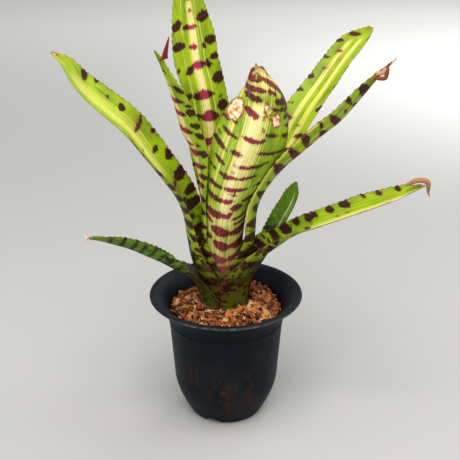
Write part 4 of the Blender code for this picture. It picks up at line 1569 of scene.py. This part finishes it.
class Husk:
    """The coconut husk that fills the pot, with its loose chunks and fibres."""

    def __init__(self, pot: Pot, size: HuskSize = HuskSize()) -> None:
        """Keeps the sizes.

        Args:
            pot: The pot that it fills.
            size: The sizes to use.
        """
        self.pot = pot
        self.size = size
        self.edge = pot.inner_radius(size.edge_z) - size.gap
        self.rng = random.Random(SEED)

    def level(self, radius: float) -> float:
        """Height of the husk's plain surface.

        Args:
            radius: The distance from the pot's axis.

        Returns:
            The height there.
        """
        s = self.size
        share = (radius - s.mound_radius) / (self.edge - s.mound_radius)
        return s.edge_z + s.mound_height * (1 - min(max(share, 0.0), 1.0))

    def ground(self, x: float, y: float) -> float:
        """Height of the lumpy surface.

        Args:
            x: The place.
            y: The place.

        Returns:
            The height there.
        """
        lumps = noise.noise(Vector((x * 220, y * 220, 1.0))) * 1.1
        lumps += noise.noise(Vector((x * 620, y * 620, 4.0))) * 0.8
        return self.level(math.hypot(x, y)) - 0.9 * MM + lumps * MM

    def heap(self, x: float, y: float) -> float:
        """How much higher the loose husk is heaped at a place.

        Args:
            x: The place.
            y: The place.

        Returns:
            The extra height.
        """
        return sum(tall * math.exp(-((x - a) ** 2 + (y - b) ** 2) / wide ** 2)
                   for a, b, wide, tall in self.size.heaps)

    def clears_plant(self, x: float, y: float, margin: float) -> bool:
        """Whether a place keeps clear of the plant.

        Args:
            x: The place.
            y: The place.
            margin: How much farther from the plant it has to be.

        Returns:
            True if it does.
        """
        s = self.size
        return math.hypot(x - s.plant[0], y - s.plant[1]) > s.clear_of_plant + margin

    def build(self, bed: HuskFinish, loose: HuskFinish) -> None:
        """Makes the husk.

        Args:
            bed: The finish of the mass.
            loose: The finish of the loose pieces.
        """
        self.build_bed(bed)
        self.build_chunks(loose)
        self.build_fibres(loose)

    def build_bed(self, finish: HuskFinish) -> None:
        """Makes the mass of husk: a lumpy top, a plain side and a flat bottom.

        Args:
            finish: Its finish.
        """
        s = self.size
        rise = [s.floor_z + (s.edge_z - s.floor_z) * i / 8 for i in range(9)]
        outline = [(0.0, s.floor_z)] + [(self.pot.inner_radius(z) - s.gap, z) for z in rise]
        outline += [(self.edge * (1 - i / s.rings), s.edge_z) for i in range(1, s.rings + 1)]
        bm = lathe(outline, s.steps)
        for vert in bm.verts:
            if vert.co.z > s.edge_z - 0.01 * MM and math.hypot(vert.co.x, vert.co.y) < self.edge - 0.1 * MM:
                vert.co.z = self.ground(vert.co.x, vert.co.y)
        bed = new_piece("husk_bed", bm, [finish.build()], ["growing_medium"])
        # painted shade: the bed is darker where its lumpy top dips below the plain level and lighter where it
        # rises above it
        depth = np.array([v.co.z - self.level(math.hypot(v.co.x, v.co.y)) for v in bed.data.vertices]) / MM
        store(bed.data, {"shade": np.clip(0.25 + 0.22 * depth, -0.2, 0.6)})

    def spot(self, margin: float) -> tuple[float, float]:
        """A random place on the husk, clear of the plant and the pot.

        Args:
            margin: How far from both it stays.

        Returns:
            The place.
        """
        s = self.size
        while True:
            radius = (self.edge + s.overhang) * math.sqrt(self.rng.random())
            turn = self.rng.uniform(0, 2 * math.pi)
            x, y = radius * math.cos(turn), radius * math.sin(turn)
            edge = min(self.edge + 0.25 * self.heap(x, y), self.edge + s.overhang)
            if radius < edge - margin and self.clears_plant(x, y, margin):
                return x, y

    def build_chunks(self, finish: HuskFinish) -> None:
        """Scatters the loose chunks.

        Args:
            finish: Their finish.
        """
        rng = self.rng
        bm = bmesh.new()
        shades = []
        for _ in range(self.size.chunks):
            length = rng.choice((2.2, 2.8, 3.6, 4.8, 6.5)) * rng.uniform(0.8, 1.2) * MM
            width, thick = length * rng.uniform(0.2, 0.6), length * rng.uniform(0.15, 0.4)
            x, y = self.spot(length * 0.45)
            z = self.ground(x, y) + rng.uniform(0.1, 1.5) * MM + self.heap(x, y) * rng.random()
            turn = Matrix.Rotation(rng.uniform(0, math.pi), 4, "Z")
            turn = turn @ Matrix.Rotation(rng.gauss(0, 0.5), 4, "Y")
            place = Matrix.Translation((x, y, z)) @ turn @ Matrix.Rotation(rng.gauss(0, 0.5), 4, "X")
            place = place @ Matrix.Diagonal((width, length, thick, 1))
            chunk = bmesh.ops.create_cube(bm, size=1, matrix=place)["verts"]
            for vert in chunk:
                vert.co += Vector([rng.uniform(-0.16, 0.16) * length for _ in range(3)])
            tone = rng.choice((0.0, 0.2, 0.4, 0.5, 0.6, 0.85))
            shades += [tone + rng.uniform(-0.12, 0.12) for _ in chunk]
        self.join_loose("husk_chunks", bm, shades, finish, [f"husk_chip_{i:02d}" for i in range(1, 13)])

    def build_fibres(self, finish: HuskFinish) -> None:
        """Scatters the loose fibres.

        Args:
            finish: Their finish.
        """
        rng = self.rng
        bm = bmesh.new()
        shades = []
        for _ in range(self.size.fibres):
            length = rng.uniform(5, 16) * MM
            x, y = self.spot(3 * MM)
            turn, bend = rng.uniform(0, 2 * math.pi), rng.uniform(-1.2, 1.2)
            point = Vector((x, y, self.ground(x, y) + rng.uniform(0.8, 2.2) * MM))
            points = [point]
            for i in range(FIBRE_SPANS):
                heading = turn + bend * i / FIBRE_SPANS
                point = point + Vector((math.cos(heading), math.sin(heading), 0)) * length / FIBRE_SPANS
                point.z = max(self.ground(point.x, point.y) + 0.8 * MM, point.z + rng.uniform(-0.6, 0.6) * MM)
                points.append(point.copy())
            if not all(math.hypot(p.x, p.y) < self.edge - 1 * MM and self.clears_plant(p.x, p.y, 0.0)
                       for p in points):
                continue
            thick = rng.uniform(0.16, 0.38) * MM
            verts = tube(bm, points, [thick * 0.6, thick, thick, thick, thick * 0.8, thick * 0.4],
                         FIBRE_SIDES)
            shades += [rng.uniform(0.35, 0.95)] * len(verts)
        self.join_loose("husk_fibres", bm, shades, finish, [])

    def join_loose(self, name: str, bm: bmesh.types.BMesh, shades: list[float], finish: HuskFinish,
                   replaces: list[str]) -> None:
        """Turns scattered bits into one piece.

        Args:
            name: The piece's name.
            bm: Its mesh.
            shades: The shade of each vertex.
            finish: Its finish.
            replaces: The CAD nodes that it is shown instead of.
        """
        bmesh.ops.recalc_face_normals(bm, faces=bm.faces)
        piece = new_piece(name, bm, [finish.build()], replaces, smooth=False)
        store(piece.data, {"shade": shades})


# ---------------------------------------------------------------- plant


class Plant:
    """The stem and the nine leaves."""

    def __init__(self, size: RosetteSize = RosetteSize()) -> None:
        """Keeps the sizes.

        Args:
            size: The sizes to use.
        """
        self.size = size

    def finishes(self) -> dict[str, list[bpy.types.Material]]:
        """The leaf materials of each slot, in the order of LeafFace.

        Returns:
            Three materials for each slot.
        """
        lime = LeafFinish("leaf lime upper", (0.285, 0.41, 0.001), (0.15, 0.25, 0.001), (0.60, 0.59, 0.10))
        cream = LeafFinish("leaf cream upper", (0.27, 0.41, 0.003), (0.14, 0.25, 0.001), (0.70, 0.66, 0.17),
                           cream=(0.92, 0.80, 0.44), band=(0.050, 0.0015, 0.005),
                           band_over_pale=(0.24, 0.003, 0.030), base=(0.36, 0.10, 0.08), mottle=0.12)
        deep = LeafFinish("leaf deep upper", (0.12, 0.25, 0.003), (0.06, 0.155, 0.002), (0.36, 0.46, 0.13),
                          band=(0.02, 0.02, 0.008))
        made = {}
        for slot, upper in (("leaf_lime", lime), ("leaf_cream", cream), ("leaf_deep", deep)):
            outer = replace(upper, name=upper.name.replace("upper", "outer"), bloom=0.10, roughness=0.5)
            margin = replace(upper, name=upper.name.replace("upper", "margin"), roughness=0.55)
            made[slot] = [face.build() for face in (outer, upper, margin)]
        return made

    def build(self) -> None:
        """Makes the plant."""
        finishes = self.finishes()
        for number, plan in enumerate(leaf_plans()):
            leaf = Leaf(plan, self.size, number + 1)
            leaf.build(finishes[plan.slot])
            log.info("%s is %.0f mm long", plan.name, leaf.along[-1])
        self.build_stem(finishes["leaf_deep"][0])

    def build_stem(self, material: bpy.types.Material) -> None:
        """Makes the short stem, which the sheaths hide.

        Args:
            material: Its material.
        """
        s = self.size
        x, y, z = s.foot
        points = [Vector((x, y, z + height * MM)) for height in s.stem_heights]
        bm = bmesh.new()
        tube(bm, points, [s.stem_radius * share for share in s.stem_shares], STEM_SIDES)
        bmesh.ops.recalc_face_normals(bm, faces=bm.faces)
        stem = new_piece("stem_core", bm, [material], ["stem"])
        store(stem.data, {"across_mm": 0.0, "along_mm": 10.0, "band": NO_BAND, "pale": 0.0, "leaf_seed": 3.0,
                          "dry": 0.0, "blush": 0.0})


# ---------------------------------------------------------------- studio


@dataclass(frozen=True)
class Softbox:
    """A square light: its place, what it looks at, its side, its power and its colour."""

    name: str
    place: tuple[float, float, float]
    target: tuple[float, float, float]
    side: float
    power: float
    colour: Colour = (1.0, 1.0, 1.0)


@dataclass(frozen=True)
class StudioSize:
    """The camera's place and lens, and the softboxes."""

    eye: tuple[float, float, float] = (0.003, -0.49896, 0.35023)
    pitch: float = 67.566
    view: float = 33.515
    sensor: float = 36.0
    floor_side: float = 14.0
    world: Colour = (1.0, 1.0, 0.985)
    world_strength: float = 0.60
    softboxes: tuple[Softbox, ...] = (
        Softbox("key softbox", (-0.05, -0.45, 1.20), (0, 0, 0.15), 0.7, 12.0, (1.0, 0.985, 0.96)),
        Softbox("front softbox", (-0.25, -1.15, 0.75), (0, 0, 0.15), 0.6, 3.2, (1.0, 0.99, 0.97)),
        Softbox("right softbox", (1.0, 0.2, 0.9), (0, 0, 0.12), 0.8, 5.5),
        Softbox("left softbox", (-1.0, -0.1, 0.8), (0, 0, 0.12), 0.8, 2.5),
        Softbox("far softbox", (1.1, 1.9, 1.5), (0.8, 1.9, 0), 1.3, 19.0),
    )


class Studio:
    """The floor, the lights, the world and the camera."""

    def __init__(self, size: StudioSize = StudioSize()) -> None:
        """Keeps the sizes.

        Args:
            size: The sizes to use.
        """
        self.size = size

    def build(self, floor: FloorFinish) -> None:
        """Makes the studio.

        Args:
            floor: The floor's finish.
        """
        self.build_floor(floor)
        for box in self.size.softboxes:
            self.build_softbox(box)
        self.build_world()
        self.build_camera()
        bpy.context.scene.view_settings.view_transform = "Standard"

    def build_floor(self, finish: FloorFinish) -> None:
        """Lays the floor.

        Args:
            finish: Its finish.
        """
        mesh = bpy.data.meshes.new("floor")
        bm = bmesh.new()
        bmesh.ops.create_grid(bm, x_segments=4, y_segments=4, size=self.size.floor_side / 2)
        bm.to_mesh(mesh)
        bm.free()
        mesh.materials.append(finish.build())
        floor = bpy.data.objects.new("floor", mesh)
        bpy.context.scene.collection.objects.link(floor)

    def build_softbox(self, box: Softbox) -> None:
        """Hangs a softbox.

        Args:
            box: Its place, size and power.
        """
        light = bpy.data.lights.new(box.name, "AREA")
        light.shape = "SQUARE"
        light.size = box.side
        light.energy = box.power
        light.color = box.colour
        lamp = bpy.data.objects.new(box.name, light)
        lamp.location = box.place
        lamp.rotation_euler = (Vector(box.target) - Vector(box.place)).to_track_quat("-Z", "Y").to_euler()
        bpy.context.scene.collection.objects.link(lamp)

    def build_world(self) -> None:
        """Sets the soft light from all round."""
        world = bpy.data.worlds.new("studio")
        world.use_nodes = True
        background = world.node_tree.nodes["Background"]
        background.inputs["Color"].default_value = (*self.size.world, 1.0)
        background.inputs["Strength"].default_value = self.size.world_strength
        bpy.context.scene.world = world

    def build_camera(self) -> None:
        """Places the camera."""
        data = bpy.data.cameras.new("camera")
        data.sensor_width = self.size.sensor
        data.lens = data.sensor_width / 2 / math.tan(math.radians(self.size.view) / 2)
        camera = bpy.data.objects.new("camera", data)
        camera.location = self.size.eye
        camera.rotation_euler = (math.radians(self.size.pitch), 0.0, 0.0)
        bpy.context.scene.collection.objects.link(camera)
        bpy.context.scene.camera = camera


def main() -> None:
    """Builds the studio, the pot, the husk and the plant."""
    logging.basicConfig(level=logging.INFO, format="%(message)s")
    Studio().build(FloorFinish("pale sweep", (0.415, 0.412, 0.406), (0.72, 0.716, 0.705),
                               (0.90, 0.897, 0.89)))
    pot = Pot()
    pot.build(PlasticFinish("pot plastic"))
    husk = Husk(pot)
    husk.build(HuskFinish("husk bed", (0.006, 0.002, 0.001), (0.10, 0.026, 0.007), (0.32, 0.11, 0.035)),
               HuskFinish("husk loose", (0.030, 0.008, 0.003), (0.30, 0.085, 0.020), (0.62, 0.32, 0.14)))
    Plant().build()
    log.info("all pieces are made")


if __name__ == "__main__":
    main()
    bpy.context.view_layer.update()
